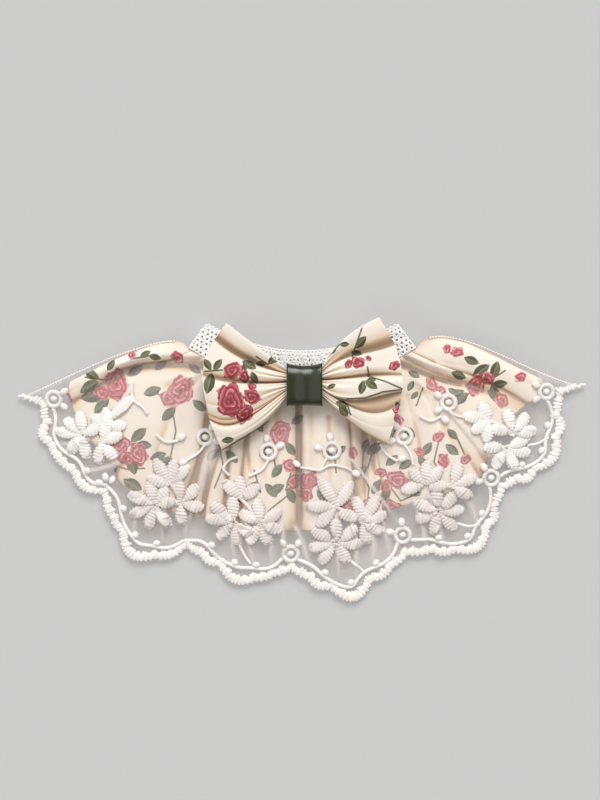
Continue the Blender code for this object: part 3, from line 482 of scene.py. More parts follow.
def beside(points, rows):
    """How far along and across its leaf or stem each point lies, in shares of its length, and that length."""
    way = rows[..., 2:4] - rows[..., :2]
    square = (way**2).sum(-1)
    away = points - rows[..., :2]
    across = (away[..., 0] * way[..., 1] - away[..., 1] * way[..., 0]) / square
    return (away * way).sum(-1) / square, across, np.sqrt(square)


def add_print(made, plan, roses, leaves, stems):
    """Gives every face its place by its nearest rose, leaf and stem, so that the shader can draw them.

    plan holds the print's plan point of each vertex in millimetres.
    """
    mesh = made.data
    corners = np.zeros(len(mesh.loops), np.int32)
    mesh.loops.foreach_get("vertex_index", corners)
    corners = corners.reshape(-1, 4)
    at = plan[corners]
    middle = at.mean(axis=1)
    roses, leaves, stems = (np.array(rows, float) for rows in (roses, leaves, stems))
    near = np.argmin(np.linalg.norm(middle[:, None] - roses[:, :2], axis=-1) / roses[:, 2], axis=1)
    chosen = roses[near]
    turn = near * ROSE_TURN
    spread = np.stack([np.cos(turn), np.sin(turn), -np.sin(turn), np.cos(turn)], axis=-1).reshape(-1, 2, 2)
    local = (at - chosen[:, None, :2]) @ spread.transpose(0, 2, 1) / chosen[:, None, 2:3] * ROSE_SQUASH
    # The third value carries two: ten times the rose's number, and how many rings of petals it has
    rings = np.clip(chosen[:, 2] * ROSE_RINGS, FEWEST_RINGS, MOST_RINGS)
    corner_attribute(mesh, "rose", with_height(local, (near * 10 + rings)[:, None]))
    along, across, _ = beside(middle[:, None], leaves)
    near = np.argmin(np.hypot((along - 0.5) * 2, across * 2 / LEAF_RATIO), axis=1)
    along, across, _ = beside(at, leaves[near][:, None])
    corner_attribute(mesh, "leaf", np.stack([along, across, np.zeros_like(along)], axis=-1))
    along, across, length = beside(middle[:, None], stems)
    past = np.clip(np.abs(along - 0.5) - 0.5, 0, None)
    near = np.argmin(np.hypot(past, across) * length, axis=1)
    along, across, length = beside(at, stems[near][:, None])
    length = np.broadcast_to(length, along.shape)
    corner_attribute(mesh, "stem", np.stack([along * length, across * length, length], axis=-1))


def printed_shell(name, upper, lower, material, print_rows, below=(1, 1)):
    """Printed cloth between two grids of points. Below (-1, 1) mirrors the print of its lower side."""
    points = np.concatenate([upper.reshape(-1, 3), lower.reshape(-1, 3)])
    made = mesh_object(name, points, shell_faces(*upper.shape[:2]), material)
    plan = upper[..., :2].reshape(-1, 2)
    add_print(made, np.concatenate([plan, plan * below]), *print_rows)
    return made


def add_painted_fold_shade(made, height, reach, depth):
    """Marks how far each point of a grid of heights lies below its surroundings, as painted shade in the
    folds of shells of that grid.
    """
    hollow = 0.0
    for wide, share in ((2, 0.45), (reach, 0.6), (3 * reach, 0.4)):
        around = blurred(blurred(height, wide).T, wide).T
        hollow = hollow + share * np.clip((around - height) / (depth * wide / reach), 0, 1)
    hollow = np.clip(hollow, 0, 1).ravel()
    layer = made.data.attributes.new("hollow", "FLOAT", "POINT")
    layer.data.foreach_set("value", np.concatenate([hollow, hollow]).astype(np.float32))


def cotton_material(name, deep_pink, light_pink):
    """Cream plain-weave cotton, printed with roses in three pinks, grey-green leaves and thin stems, with
    painted shade in its folds.
    """
    material, shader, add, links = shader_material(name, (0.93, 0.85, 0.73), 0.75)
    where = add("TexCoord").outputs["Object"]

    def colour_mix(factor, first, second):
        node = add("Mix", {"data_type": "RGBA"}, Factor=factor)
        for index, value in ((6, first), (7, second)):
            if isinstance(value, bpy.types.NodeSocket):
                links.new(value, node.inputs[index])
            else:
                node.inputs[index].default_value = (*value, 1.0)
        return node.outputs[2]

    def worked(operation, first, second=0.0):
        return add("Math", {"operation": operation}, i0=first, i1=second).outputs["Value"]

    plus, minus, times, power = (partial(worked, kind) for kind in ("ADD", "SUBTRACT", "MULTIPLY", "POWER"))
    floor, fraction, absolute = (partial(worked, kind) for kind in ("FLOOR", "FRACT", "ABSOLUTE"))

    def far(first, second):
        """How long the slope over two sides is."""
        return worked("SQRT", plus(power(absolute(first), 2.0), power(absolute(second), 2.0)))

    def ramp(value, low, high):
        return add("MapRange", i0=value, i1=low, i2=high, i3=0.0, i4=1.0).outputs["Result"]

    def stored(name):
        """The three values that add_print gave the face corners."""
        vector = add("Attribute", {"attribute_name": name}).outputs["Vector"]
        return add("SeparateXYZ", Vector=vector).outputs

    wander = add("TexNoise", Vector=where, Scale=420.0, Detail=2.0)
    shift = times(minus(wander.outputs["Fac"], 0.5), 0.8)

    # Rose: an outline of rounded petals, and bent bands of dark and light inside it
    rose = stored("rose")
    distance = far(rose["X"], rose["Y"])
    angle = worked("ARCTAN2", rose["Y"], rose["X"])
    ring_count = worked("MODULO", rose["Z"], 10.0)
    seed = times(floor(times(rose["Z"], 0.1)), 1.7)
    scallop = times(worked("COSINE", plus(times(angle, 5.0), seed)), 0.07)
    edge = plus(plus(0.88, scallop), times(shift, 0.5))
    in_rose = ramp(minus(edge, distance), 0.0, 0.05)
    wobble = times(worked("SINE", plus(times(angle, 3.0), seed)), 0.07)
    out = plus(plus(distance, wobble), times(shift, 0.22))
    wound = times(plus(angle, seed), 0.5 / math.pi)
    rings = plus(times(worked("MAXIMUM", out, 0.0), ring_count), wound)
    ring, within = floor(rings), fraction(rings)
    turned = plus(times(angle, 0.64), plus(times(ring, 1.37), seed))
    side_edge = absolute(minus(fraction(turned), 0.5))
    petal_tone = fraction(times(floor(turned), 0.37))
    lit = times(ramp(within, 0.35, 0.9), plus(0.3, times(petal_tone, 0.9)))
    pinks = colour_mix(lit, deep_pink, light_pink)
    rim = times(ramp(within, 0.02, 0.2), ramp(side_edge, 0.49, 0.42))
    rim = times(rim, ramp(distance, 0.04, 0.2))
    rose_colour = colour_mix(rim, (0.33, 0.03, 0.055), pinks)

    # Leaf: pointed, with a pale midrib and a darker half
    leaf = stored("leaf")
    hump = times(times(leaf["X"], minus(1.0, leaf["X"])), LEAF_RATIO * 2.2)
    fullness = minus(hump, absolute(leaf["Y"]))
    in_leaf = ramp(plus(fullness, times(shift, 0.08)), 0.0, 0.02)
    rib = ramp(absolute(leaf["Y"]), 0.03, 0.012)
    greens = colour_mix(ramp(leaf["Y"], -0.02, 0.02), (0.065, 0.075, 0.030), (0.135, 0.14, 0.062))
    leaf_colour = colour_mix(times(rib, 0.6), greens, (0.33, 0.34, 0.20))

    # Stem: a line of one width with round ends
    stem = stored("stem")
    half = times(stem["Z"], 0.5)
    past = worked("MAXIMUM", minus(absolute(minus(stem["X"], half)), half), 0.0)
    in_stem = ramp(far(past, stem["Y"]), STEM_HALF + 0.1, STEM_HALF - 0.05)

    # Ground: cream with faint warm clouds. The print goes on it, then the painted shade in the folds and the
    # weave
    clouds = add("TexNoise", Vector=where, Scale=25.0, Detail=3.0).outputs["Fac"]
    ground = colour_mix(ramp(clouds, 0.35, 0.65), (0.89, 0.78, 0.66), (0.93, 0.85, 0.745))
    drawn = colour_mix(in_stem, ground, (0.15, 0.15, 0.08))
    drawn = colour_mix(in_leaf, drawn, leaf_colour)
    drawn = colour_mix(in_rose, drawn, rose_colour)
    # Painted shade: the cloth darkens to warm browns by how deep a fold lies
    hollow = add("Attribute", {"attribute_name": "hollow"}).outputs["Fac"]
    depth = add("ValToRGB", Fac=hollow)
    stops = depth.color_ramp.elements
    for place, shade in FOLD_SHADES:
        stop = stops.new(place) if 0 < place < 1 else stops[-int(place)]
        stop.color = (*shade, 1.0)
    shaded = add("Mix", {"data_type": "RGBA", "blend_type": "MULTIPLY"}, Factor=1.0)
    links.new(drawn, shaded.inputs[6])
    links.new(depth.outputs["Color"], shaded.inputs[7])
    links.new(shaded.outputs[2], shader.inputs["Base Color"])
    weave_x = add("TexWave", {"bands_direction": "X"}, Vector=where, Scale=900.0, Distortion=0.4)
    weave_y = add("TexWave", {"bands_direction": "Y"}, Vector=where, Scale=900.0, Distortion=0.4)
    weave = times(weave_x.outputs["Fac"], weave_y.outputs["Fac"])
    bump = add("Bump", Height=weave, Strength=0.25, Distance=0.00012)
    links.new(bump.outputs["Normal"], shader.inputs["Normal"])
    shader.inputs["Sheen Weight"].default_value = 0.25
    return material


def hem_reach(shares, hems):
    """The fall at which the cotton ends, where each column of the cloth comes nearest to its hem."""
    falls = np.linspace(0.4, 1.0, 121)
    gap, _ = distance_to_line(flounce_points(shares, hems, falls[:, None]), RUFFLE_HEM)
    reach = falls[np.argmin(gap, axis=0)]
    soft = np.array((1.0, 2.0, 3.0, 2.0, 1.0)) / 9
    return np.convolve(np.pad(reach, 2, mode="edge"), soft, mode="valid")


def distance_to_line(points, line):
    """Distance from each plan point to a line of points, and how far along the line the nearest place is."""
    best = np.full(points.shape[:-1], np.inf)
    along = np.zeros(points.shape[:-1])
    for i in range(len(line) - 1):
        way = line[i + 1] - line[i]
        t = np.clip(((points - line[i]) @ way) / (way @ way), 0, 1)
        gap = np.linalg.norm(points - (line[i] + t[..., None] * way), axis=-1)
        along = np.where(gap < best, (i + t) / (len(line) - 1), along)
        best = np.minimum(best, gap)
    return best, along


printed_cotton = cotton_material("printed cotton", (0.50, 0.07, 0.10), (0.88, 0.50, 0.48))
RUFFLE_PRINT = (RUFFLE_ROSES, lengthened(RUFFLE_LEAVES, RUFFLE_LEAF_GROWTH), RUFFLE_STEMS)
back_shares, back_hems = hem_shares[BACK_RUFFLE_ENDS], hem_points[BACK_RUFFLE_ENDS]
back_lengths = np.linalg.norm(back_hems - neck_point(back_shares), axis=-1)
back_reach = hem_reach(back_shares, back_hems) - BACK_RUFFLE_INSET / back_lengths
back_falls = np.linspace(0.01, 1, BACK_RUFFLE_ROWS)[:, None] * back_reach
back_plan = flounce_points(back_shares, back_hems, back_falls)
ripple = BACK_RUFFLE_RIPPLE * np.sin(back_shares * BACK_RUFFLE_RIPPLES + 3 * back_falls)
back_upper = with_height(back_plan, BACK_RUFFLE_HIGH + ripple)
back_lower = with_height(back_plan, BACK_RUFFLE_LOW + ripple / 2)
ruffle_back = printed_shell(
    "ruffle_back_cotton", back_upper, back_lower, printed_cotton, RUFFLE_PRINT, below=(-1, 1)
)
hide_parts("ruffle_back")

# Neck tape: white crocheted cotton tape with a picot edge, sewn to a ring. Folded flat, it has a front
# run, a turn at each end and a back run beneath.

TAPE_WIDTH = 14.0
TAPE_LEAN = 1.3
TAPE_REACH = 51.4
TAPE_LOW = 1.9
TAPE_HIGH = 3.7
TAPE_TURN = 0.95
TAPE_PITCH = 2.05
TAPE_LOOPS = 6
# Shares of the width: where the first row of loops is, and how far the rows spread from it
TAPE_FIRST_LOOPS = 0.1
TAPE_LOOP_SPREAD = 0.76
TAPE_UNEVEN = 0.22
TAPE_SAG = 0.12
TAPE_LOOP = (2.5, 2.3, 2.4)
TAPE_PICOT = (1.7, 1.9, 1.9)
TAPE_PICOT_SHARE = 0.965
TAPE_END_LOOPS = 8
TAPE_END_LOOP = (2.2, 2.0, 2.0)
TAPE_CHAIN = (1.35, 1.0, 0.9)
TAPE_CHAIN_STEP = 0.95
TAPE_CHAINS = (0.02, 0.9)  # shares of the width that have a close chain of stitches
TAPE_SEAM = 0.3  # from the neck seam to the tape


def thread_loop(nodes, links, given):
    """One crocheted loop: a round cord bent to a ring, one unit wide."""
    ring = nodes.new("GeometryNodeCurvePrimitiveCircle")
    ring.inputs["Radius"].default_value = 0.42
    links.new(given.outputs["Sides"], ring.inputs["Resolution"])
    cord = nodes.new("GeometryNodeCurvePrimitiveCircle")
    cord.inputs["Radius"].default_value = 0.27
    cord.inputs["Resolution"].default_value = 5
    sweep = nodes.new("GeometryNodeCurveToMesh")
    links.new(ring.outputs["Curve"], sweep.inputs["Curve"])
    links.new(cord.outputs["Curve"], sweep.inputs["Profile Curve"])
    return sweep.outputs["Mesh"]


def tape_place(x, share):
    """Plan points a share of the way across the tape, and the way along it."""
    slope = 2 * NECK_RISE * x / NECK_HALF**2
    across = unit(np.stack([-slope * TAPE_LEAN, np.ones_like(x)], axis=-1))
    foot = np.stack([x, neck_y(x)], axis=-1)
    reach = TAPE_SEAM + TAPE_WIDTH * np.broadcast_to(share, x.shape)
    return foot + across * reach[:, None], unit(np.stack([np.ones_like(x), slope], axis=-1))


def flat_row(plan, along, height, size):
    """Stitches in a row at a height over the table."""
    return stitch_rows(with_height(plan, height), with_height(along, 0.0), UP, size)


tape_loops, tape_beads = [], []
for level in (TAPE_LOW, TAPE_HIGH):
    for row in range(TAPE_LOOPS):
        shift = (row + (level == TAPE_LOW)) % 2
        x = np.arange(-TAPE_REACH + shift * TAPE_PITCH / 2, TAPE_REACH, TAPE_PITCH)
        plan, along = tape_place(x, TAPE_FIRST_LOOPS + TAPE_LOOP_SPREAD * row / (TAPE_LOOPS - 1))
        plan = plan + TAPE_UNEVEN * np.sin(x[:, None] * (1.9, 2.7) + row * 2.0)
        sag = TAPE_SAG * np.sin(x * 1.9 + row)
        tape_loops.append(flat_row(plan, along, level + sag, TAPE_LOOP))
    for share in TAPE_CHAINS:
        plan, along = tape_place(np.arange(-TAPE_REACH, TAPE_REACH, TAPE_CHAIN_STEP), share)
        tape_beads.append(flat_row(plan, along, level, TAPE_CHAIN))
    plan, along = tape_place(np.arange(-TAPE_REACH, TAPE_REACH, TAPE_PITCH), TAPE_PICOT_SHARE)
    tape_loops.append(flat_row(plan, along, level, TAPE_PICOT))
for side in (-1, 1):
    shares = np.linspace(0.04, 0.9, TAPE_END_LOOPS)
    plan, along = tape_place(np.full(TAPE_END_LOOPS, side * TAPE_REACH), shares)
    places = with_height(plan + along * side * TAPE_TURN, (TAPE_LOW + TAPE_HIGH) / 2)
    tape_loops.append(stitch_rows(places, UP, with_height(along * side, 0.0), TAPE_END_LOOP))
tape_thread, tape_shader, _, _ = shader_material("crochet tape", (0.91, 0.885, 0.865), 0.75)
tape_shader.inputs["Sheen Weight"].default_value = 0.3
loop_nodes = stitch_tree("crochet loops", thread_loop)
neck_tape = grown("neck_tape_loops", loop_nodes, tape_loops, tape_thread, 9)
neck_chain = grown("neck_tape_chains", stitch_nodes, tape_beads, tape_thread, 6)
for made in (neck_tape, neck_chain):
    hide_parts("neckband")

# Front half of the ruffle: the same printed cotton, gathered into the neck seam. It falls in broad
# rounded panels with sharp valleys between them, and rolls over at both folded ends.

COTTON_THICK = 0.5
# Height of the cotton before its folds, as (fall, height)
LIE = (
    (0.0, 5.1), (0.06, 5.3), (0.15, 5.9), (0.3, 6.6), (0.5, 6.3), (0.7, 5.2), (0.82, 3.8), (0.92, 1.6),
    (1.0, 1.0),
)
# Share of a fold's height that is there, as (fall, share)
FOLD_LIFE = ((0.0, 0.15), (0.1, 0.4), (0.28, 1.0), (0.6, 1.0), (0.8, 0.7), (1.0, 0.12))
# Gathered panels from left to right: where one starts along the hem, and how high it swells
PANELS = np.array(
    (
        (0.0, 2.6), (0.05, 3.6), (0.335, 0.6), (0.350, 2.4), (0.380, 0.8), (0.405, 2.6), (0.490, 3.0),
        (0.575, 1.0), (0.620, 3.8), (0.93, 3.0), (1.0, 0.0),
    )
)
PANEL_ROUNDNESS = 0.8
# Creases as depth, half width and the points that each runs through. A negative depth is a ridge
CREASES = (
    (4.2, 3.2, ((-45.7, 44.8), (-54.4, 45.1), (-72.8, 44.2), (-82.0, 41.9), (-97.6, 34.1))),
    (1.4, 2.6, ((-45.2, 43.9), (-54.4, 40.0), (-63.1, 32.2))),
    (4.2, 3.2, ((45.4, 45.6), (55.1, 41.4), (64.7, 37.7), (73.9, 35.4), (92.0, 30.2))),
    (1.2, 4.0, ((46.0, 42.0), (63.4, 16.6), (81.8, -8.7))),
    (3.2, 4.5, ((29.0, 18.0), (29.0, -2.0), (27.0, -20.0))),
    (2.0, 8.5, ((-13.0, 32.0), (-14.0, 4.0), (-15.0, -24.0))),
)
SMALL_CREASES = (
    (2.8, 1.1, ((-45.7, 43.9), (-54.4, 44.2), (-72.8, 43.3), (-82.0, 41.0))),
    (-1.8, 2.2, ((-48.0, 47.6), (-60.0, 47.8), (-74.0, 47.0), (-88.0, 42.6))),
    (2.8, 1.1, ((45.4, 44.6), (55.1, 40.4), (64.7, 36.7), (73.9, 34.4))),
    (-1.6, 2.2, ((48.0, 48.2), (58.0, 44.2), (68.0, 40.8), (82.0, 37.0))),
    (0.7, 1.6, ((-50.0, 42.5), (-62.0, 41.5), (-74.0, 40.0))),
    (-0.7, 1.8, ((-48.0, 40.5), (-60.0, 37.5), (-70.0, 37.5))),
    (0.6, 1.5, ((-45.0, 40.0), (-56.0, 30.0), (-61.0, 18.0))),
    (0.6, 2.4, ((-60.0, 22.0), (-66.0, 6.0), (-68.0, -8.0))),
    (-1.3, 1.7, ((-39.5, 14.0), (-41.0, 5.0), (-47.5, -14.0), (-50.5, -26.0))),
    (1.1, 1.6, ((-43.0, 20.0), (-45.0, 6.0), (-52.0, -12.0), (-55.0, -22.0))),
    (1.1, 1.5, ((-36.0, 18.0), (-37.5, 4.0), (-43.5, -14.0), (-46.0, -26.0))),
    (0.7, 1.5, ((-24.0, 22.0), (-25.0, 6.0), (-23.0, -10.0))),
    (-0.5, 1.6, ((-14.0, 22.0), (-15.0, 2.0), (-14.0, -16.0))),
    (2.6, 1.3, ((-1.4, 26.0), (-1.2, 4.0), (-0.8, -30.0))),
    (-0.8, 1.5, ((1.8, 22.0), (1.6, 0.0), (2.0, -22.0))),
    (0.5, 1.8, ((12.0, 20.0), (12.5, 0.0), (13.0, -14.0))),
    (-0.6, 1.7, ((19.0, 14.0), (19.5, -4.0), (20.5, -18.0))),
    (0.8, 1.4, ((33.0, 18.0), (32.5, 0.0), (34.0, -14.0))),
    (0.6, 1.8, ((48.0, 30.0), (53.0, 10.0), (56.0, -6.0))),
    (-0.6, 2.2, ((55.0, 28.0), (66.0, 8.0), (74.0, -4.0))),
    (0.6, 1.5, ((50.0, 40.0), (60.0, 34.5), (70.0, 32.0))),
    (-0.7, 1.6, ((52.0, 37.0), (62.0, 31.0), (72.0, 27.0))),
    (0.6, 2.0, ((60.0, 32.0), (74.0, 20.0), (84.0, 8.0))),
    (0.5, 2.0, ((-78.0, 30.0), (-90.0, 20.0), (-98.0, 14.0))),
    (-0.5, 1.6, ((-70.0, 47.5), (-84.0, 44.5), (-94.0, 39.5))),
    (-0.5, 1.6, ((62.0, 44.0), (76.0, 41.5), (90.0, 37.5))),
)
END_TURN = 6.0
SEWN_FALL = 0.16
EDGE_HEIGHT = 2.5
FREE_LOW = 2.0
# How far above the back half the cotton stays, and how far inside the folded ends that begins
OVER_BACK = 0.9
OVER_BACK_FROM = 4.0
RUFFLE_ROWS = 100
# How many columns of the grid the cotton stays in from the folded ends, over how many that fades, and
# how soon on the way down from the neck it is so
EDGE_INSET = 4.0
EDGE_BLEND = 7.0
EDGE_QUICK = 1.7
RUFFLE_STEP = 1.15


def panel_swell(share):
    """Height of the gathered panels: sharp valleys and round crests."""
    k = np.clip(np.searchsorted(PANELS[:, 0], share, side="right") - 1, 0, len(PANELS) - 2)
    t = (share - PANELS[k, 0]) / (PANELS[k + 1, 0] - PANELS[k, 0])
    return PANELS[k, 1] * np.sin(math.pi * np.clip(t, 0, 1)) ** PANEL_ROUNDNESS


def from_fold(points, fall):
    """Distance from the folded ends, with more added near the neck tape, where the cloth is sewn down."""
    side = np.inf
    for share, corner in ((0.0, HEM_LOBES[0]), (1.0, HEM_LOBES[-1])):
        line = flounce_points(share, corner[:2], np.linspace(0, 1, 40))
        side = np.minimum(side, distance_to_line(points, line)[0])
    return side + END_TURN * np.clip(1 - fall / SEWN_FALL, 0, 1)


def creased(points, creases):
    """How far the creases lower the cloth at each plan point."""
    total = 0.0
    for depth, half_width, way in creases:
        gap, along = distance_to_line(points, np.array(way))
        total = total + depth * np.exp(-((gap / half_width) ** 2)) * (1 - along**3)
    return total


def open_height(points, share, fall):
    """Height of the ruffle's upper side before it turns down at the folded ends."""
    height = np.interp(fall, *zip(*LIE)) + panel_swell(share) * np.interp(fall, *zip(*FOLD_LIFE))
    return height - creased(points, CREASES) - creased(points, SMALL_CREASES)


def cotton_height(points, share, fall):
    """Height of the ruffle's upper side."""
    height = open_height(points, share, fall)
    fold = from_fold(points, fall)
    turn = 1 - np.clip(1 - fold / END_TURN, 0, 1) ** 2
    low = np.minimum(height, EDGE_HEIGHT)
    height = low + (height - low) * np.sqrt(turn)
    return np.maximum(height, np.where(fold > OVER_BACK_FROM, BACK_RUFFLE_HIGH + OVER_BACK, FREE_LOW))


def steepness(upper):
    """How much taller than the cloth is thick its upright cut is."""
    facing = np.cross(np.gradient(upper, axis=1), np.gradient(upper, axis=0))
    facing = np.abs(facing[..., 2]) / np.maximum(np.linalg.norm(facing, axis=-1), 1e-9)
    return 1 / np.maximum(facing, 0.5)


fine_shares, fine_hems = hem_line(RUFFLE_STEP)
fine_reach = hem_reach(fine_shares, fine_hems)
ruffle_falls = np.linspace(0, 1, RUFFLE_ROWS)[:, None] * fine_reach
column = np.arange(len(fine_shares))
from_end = np.minimum(column, column[::-1])
drawn_in = EDGE_INSET * np.exp(-from_end / EDGE_BLEND) * np.clip(ruffle_falls * EDGE_QUICK, 0, 1)
moved = column + np.where(column == from_end, 1, -1) * drawn_in
ruffle_share = np.interp(moved, column, fine_shares)
ruffle_hems = np.stack([np.interp(moved, column, fine_hems[:, k]) for k in (0, 1)], axis=-1)
ruffle_plan = flounce_points(ruffle_share, ruffle_hems, ruffle_falls)
cotton_upper = with_height(ruffle_plan, cotton_height(ruffle_plan, ruffle_share, ruffle_falls))
cotton_lower = cotton_upper - (COTTON_THICK * steepness(cotton_upper))[..., None] * UP
keep = slice(1, -1)
ruffle_front = printed_shell(
    "ruffle_front_cotton", cotton_upper[:, keep], cotton_lower[:, keep], printed_cotton, RUFFLE_PRINT
)
bare_height = open_height(ruffle_plan, ruffle_share, ruffle_falls)
# Painted shade in the ruffle's folds
add_painted_fold_shade(ruffle_front, bare_height[:, keep], reach=6, depth=0.6)
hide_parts("ruffle_front")

# Front half of the lace flounce: the same net, laid over the ruffle and past its hem. It clings to the
# cotton, then falls in small soft folds down to the embroidered border.

NET_GAP = 0.45
NET_ROWS_OVER = 85
NET_ROWS_FREE = 55
NET_FOLD = 0.35
NET_DROP = 2.5
NET_CROWD = 1.6
NET_CREASES = (
    (-1.0, 1.7, ((-39.7, 9.0), (-44.0, -5.0), (-48.9, -21.0))),
    (-1.1, 0.8, ((66.0, 24.0), (75.0, 13.0), (84.0, 2.4))),
    (-1.5, 0.9, ((-33.0, -26.0), (-32.0, -36.0), (-31.0, -46.0))),
    (-1.6, 1.0, ((-9.0, -29.0), (-8.0, -40.0), (-6.0, -48.0))),
    (-1.6, 0.9, ((14.0, -28.0), (16.0, -42.0), (17.0, -54.0))),
    (-1.6, 1.2, ((23.0, -27.0), (25.0, -40.0), (25.0, -54.0))),
    (-1.5, 0.9, ((51.0, -18.0), (55.0, -30.0), (58.0, -42.0))),
    (-1.4, 1.0, ((-62.0, -18.0), (-64.0, -28.0), (-64.0, -38.0))),
    (-1.3, 0.7, ((22.9, 0.5), (36.0, -17.0), (45.9, -30.8))),
    (-1.0, 0.9, ((-50.0, -22.0), (-53.0, -30.0), (-54.0, -36.0))),
    (-1.3, 1.1, ((-26.0, -27.0), (-24.0, -38.0), (-22.0, -50.0))),
    (-1.0, 1.0, ((-15.0, -28.0), (-14.0, -38.0), (-14.0, -50.0))),
    (0.8, 1.2, ((-20.0, -28.0), (-19.0, -38.0), (-18.0, -50.0))),
    (-1.1, 1.2, ((-3.0, -30.0), (1.0, -40.0), (4.0, -50.0))),
    (-1.4, 1.3, ((30.0, -26.0), (33.0, -38.0), (32.0, -50.0))),
    (-1.1, 1.0, ((36.5, -25.0), (39.0, -36.0), (40.0, -44.0))),
    (-1.3, 1.3, ((58.0, -16.0), (62.0, -28.0), (66.0, -44.0))),
    (-1.1, 1.1, ((72.0, -12.0), (78.0, -22.0), (82.0, -34.0))),
    (-1.0, 1.2, ((-72.0, -16.0), (-76.0, -26.0), (-78.0, -36.0))),
    (-1.1, 1.3, ((-86.0, -2.0), (-94.0, -4.0), (-104.0, -6.0))),
    (-1.0, 1.2, ((-98.0, 10.0), (-106.0, 8.0), (-114.0, 8.0))),
    (-1.0, 1.1, ((85.0, 4.0), (94.0, 0.0), (102.0, -6.0))),
    (-0.8, 1.1, ((93.0, 16.0), (102.0, 14.0), (114.0, 14.0))),
)
# Above these lines the net is drawn thin over the rolled ends: the side, then places from the middle out
NET_THIN = (
    (-1, (45.7, 45.5), (54.4, 45.6), (72.8, 44.4), (82.0, 41.6), (97.6, 34.5), (110.0, 30.0)),
    (1, (45.4, 46.0), (55.1, 41.6), (64.7, 37.9), (73.9, 35.4), (92.0, 30.4), (108.0, 28.0)),
)
NET_THINNING = 0.85
NET_THIN_SPAN = 2.0

over_falls = np.linspace(0, 1, NET_ROWS_OVER)[:, None] * fine_reach
free_falls = fine_reach + (1 - fine_reach) * np.linspace(0, 1, NET_ROWS_FREE + 1)[1:, None]
net_falls = np.concatenate([over_falls, free_falls])
net_plan = flounce_points(fine_shares, fine_hems, net_falls)
over = cotton_height(net_plan[:NET_ROWS_OVER], fine_shares, over_falls)
over = over + NET_GAP * steepness(with_height(net_plan[:NET_ROWS_OVER], over))
down = np.clip((free_falls - fine_reach) / (1 - fine_reach), 0, 1)
free = FREE_LOW + (over[-1] - FREE_LOW) * (1 - down) ** NET_DROP
free = free + panel_swell(fine_shares) * NET_FOLD * np.sin(math.pi * down)
folded = creased(net_plan, NET_CREASES)
net_points = with_height(net_plan, np.concatenate([over, free]) - folded)
net_faces = grid_faces(*net_plan.shape[:2])
white_net = net_material("white net", (0.80, 0.72, 0.675))
lace_net = mesh_object("lace_front_net", net_points, net_faces, white_net)
crowding = np.clip(-folded / NET_CROWD, 0, 1)
for valley in NET_THIN:
    roll_foot = np.interp(np.abs(net_plan[..., 0]), *zip(*valley[1:]), left=np.inf, right=np.inf)
    above = np.clip((net_plan[..., 1] - roll_foot) / NET_THIN_SPAN, 0, 1)
    crowding = crowding - (np.sign(net_plan[..., 0]) == valley[0]) * NET_THINNING * above
layer = lace_net.data.attributes.new("folded", "FLOAT", "POINT")
layer.data.foreach_set("value", crowding.ravel().astype(np.float32))
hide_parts("lace_front")

# Border and inner cord of the front flounce: white machine embroidery, a wide satin-stitched band with
# a toothed edge and, inside it, a thin corded line with small buds.

CORD_INSET = 6.7
CORD_WAVE = 1.2
CORD_STITCH = (2.4, 1.75, 1.6)
CORD_STEP = 0.75
CORD_SLANT = 0.55
FOLD_BEAD = (1.4, 1.0, 0.9)  # the net's mesh shows as beads where it folds at the collar's ends
FOLD_BEAD_STEP = 1.35
KNOB = (3.7, 3.4, 2.1)
KNOB_ASIDE = 1.7
KNOB_LIFT = 0.55
KNOB_SHARES = (0.24, 0.5, 0.77)  # of the way between two junctions
BORDER_LIFT = 0.35
SATIN_STEP = 1.4
SATIN = (2.5, 1.6)  # a leaf's stitches along it, and their height
SATIN_SLANT = 0.22
LEAF_ARCH = 0.35  # how much higher a leaf is in its middle
LEAF_MIDDLE = 0.54
LEAF_PADDING = (0.92, 0.84, 1.5)  # shares of its length and width, and the height
# The junctions that the cord runs between, from left to right, and how far from each it ends
CORD_JUNCTIONS = (
    (-113.7, 28.6, 4.2), (-89.4, -11.0, 0.0), (-53.9, -36.5, 0.0), (-5.2, -42.3, 4.2), (46.1, -33.8, 4.2),
    (86.4, -7.5, 4.2), (111.7, 32.0, 4.0),
)
JUNCTION_CLEAR = 8.0

net_tree = BVHTree.FromPolygons([Vector(p) for p in net_points.reshape(-1, 3)], net_faces.tolist())


def ground(plan):
    """Height of the front net and its upward normal at plan points."""
    heights, ups = [], []
    for x, y in np.asarray(plan, float).reshape(-1, 2):
        hit, normal, _, _ = net_tree.ray_cast(Vector((x, y, 100.0)), Vector((0, 0, -1)))
        heights.append(FREE_LOW if hit is None else hit.z)
        ups.append(UP if hit is None else tuple(normal))
    return np.array(heights), np.array(ups)


def laid(plan, ways, size, lift):
    """Stitches lifted a little off the front net at plan points, each turned to its way."""
    plan, ways = np.asarray(plan, float).reshape(-1, 2), np.asarray(ways, float)
    heights, ups = ground(plan)
    return stitch_rows(with_height(plan, heights + lift), with_height(ways, 0.0), ups, size)


def evenly(line, step, closed=False):
    """Points about a step apart along a line, and the unit way at each. A closed one ends where it starts."""
    line = np.asarray(line, float)
    lengths = np.concatenate([[0.0], np.cumsum(np.linalg.norm(np.diff(line, axis=0), axis=1))])
    count = round(lengths[-1] / step)
    count = count if closed else max(2, count + 1)
    at = np.linspace(0, lengths[-1], count, endpoint=not closed)
    points = np.stack([np.interp(at, lengths, values) for values in line.T], axis=-1)
    if closed:
        return points, unit(np.roll(points, -1, axis=0) - np.roll(points, 1, axis=0))
    return points, unit(np.gradient(points, axis=0))


def smoothed(line, steps=3):
    """A line with rounded corners between the same ends."""
    line = np.asarray(line, float)
    for _ in range(steps):
        quarter = line[:-1] * 0.75 + line[1:] * 0.25
        three = line[:-1] * 0.25 + line[1:] * 0.75
        middle = np.stack([quarter, three], axis=1).reshape(-1, 2)
        line = np.concatenate([line[:1], middle, line[-1:]])
    return line


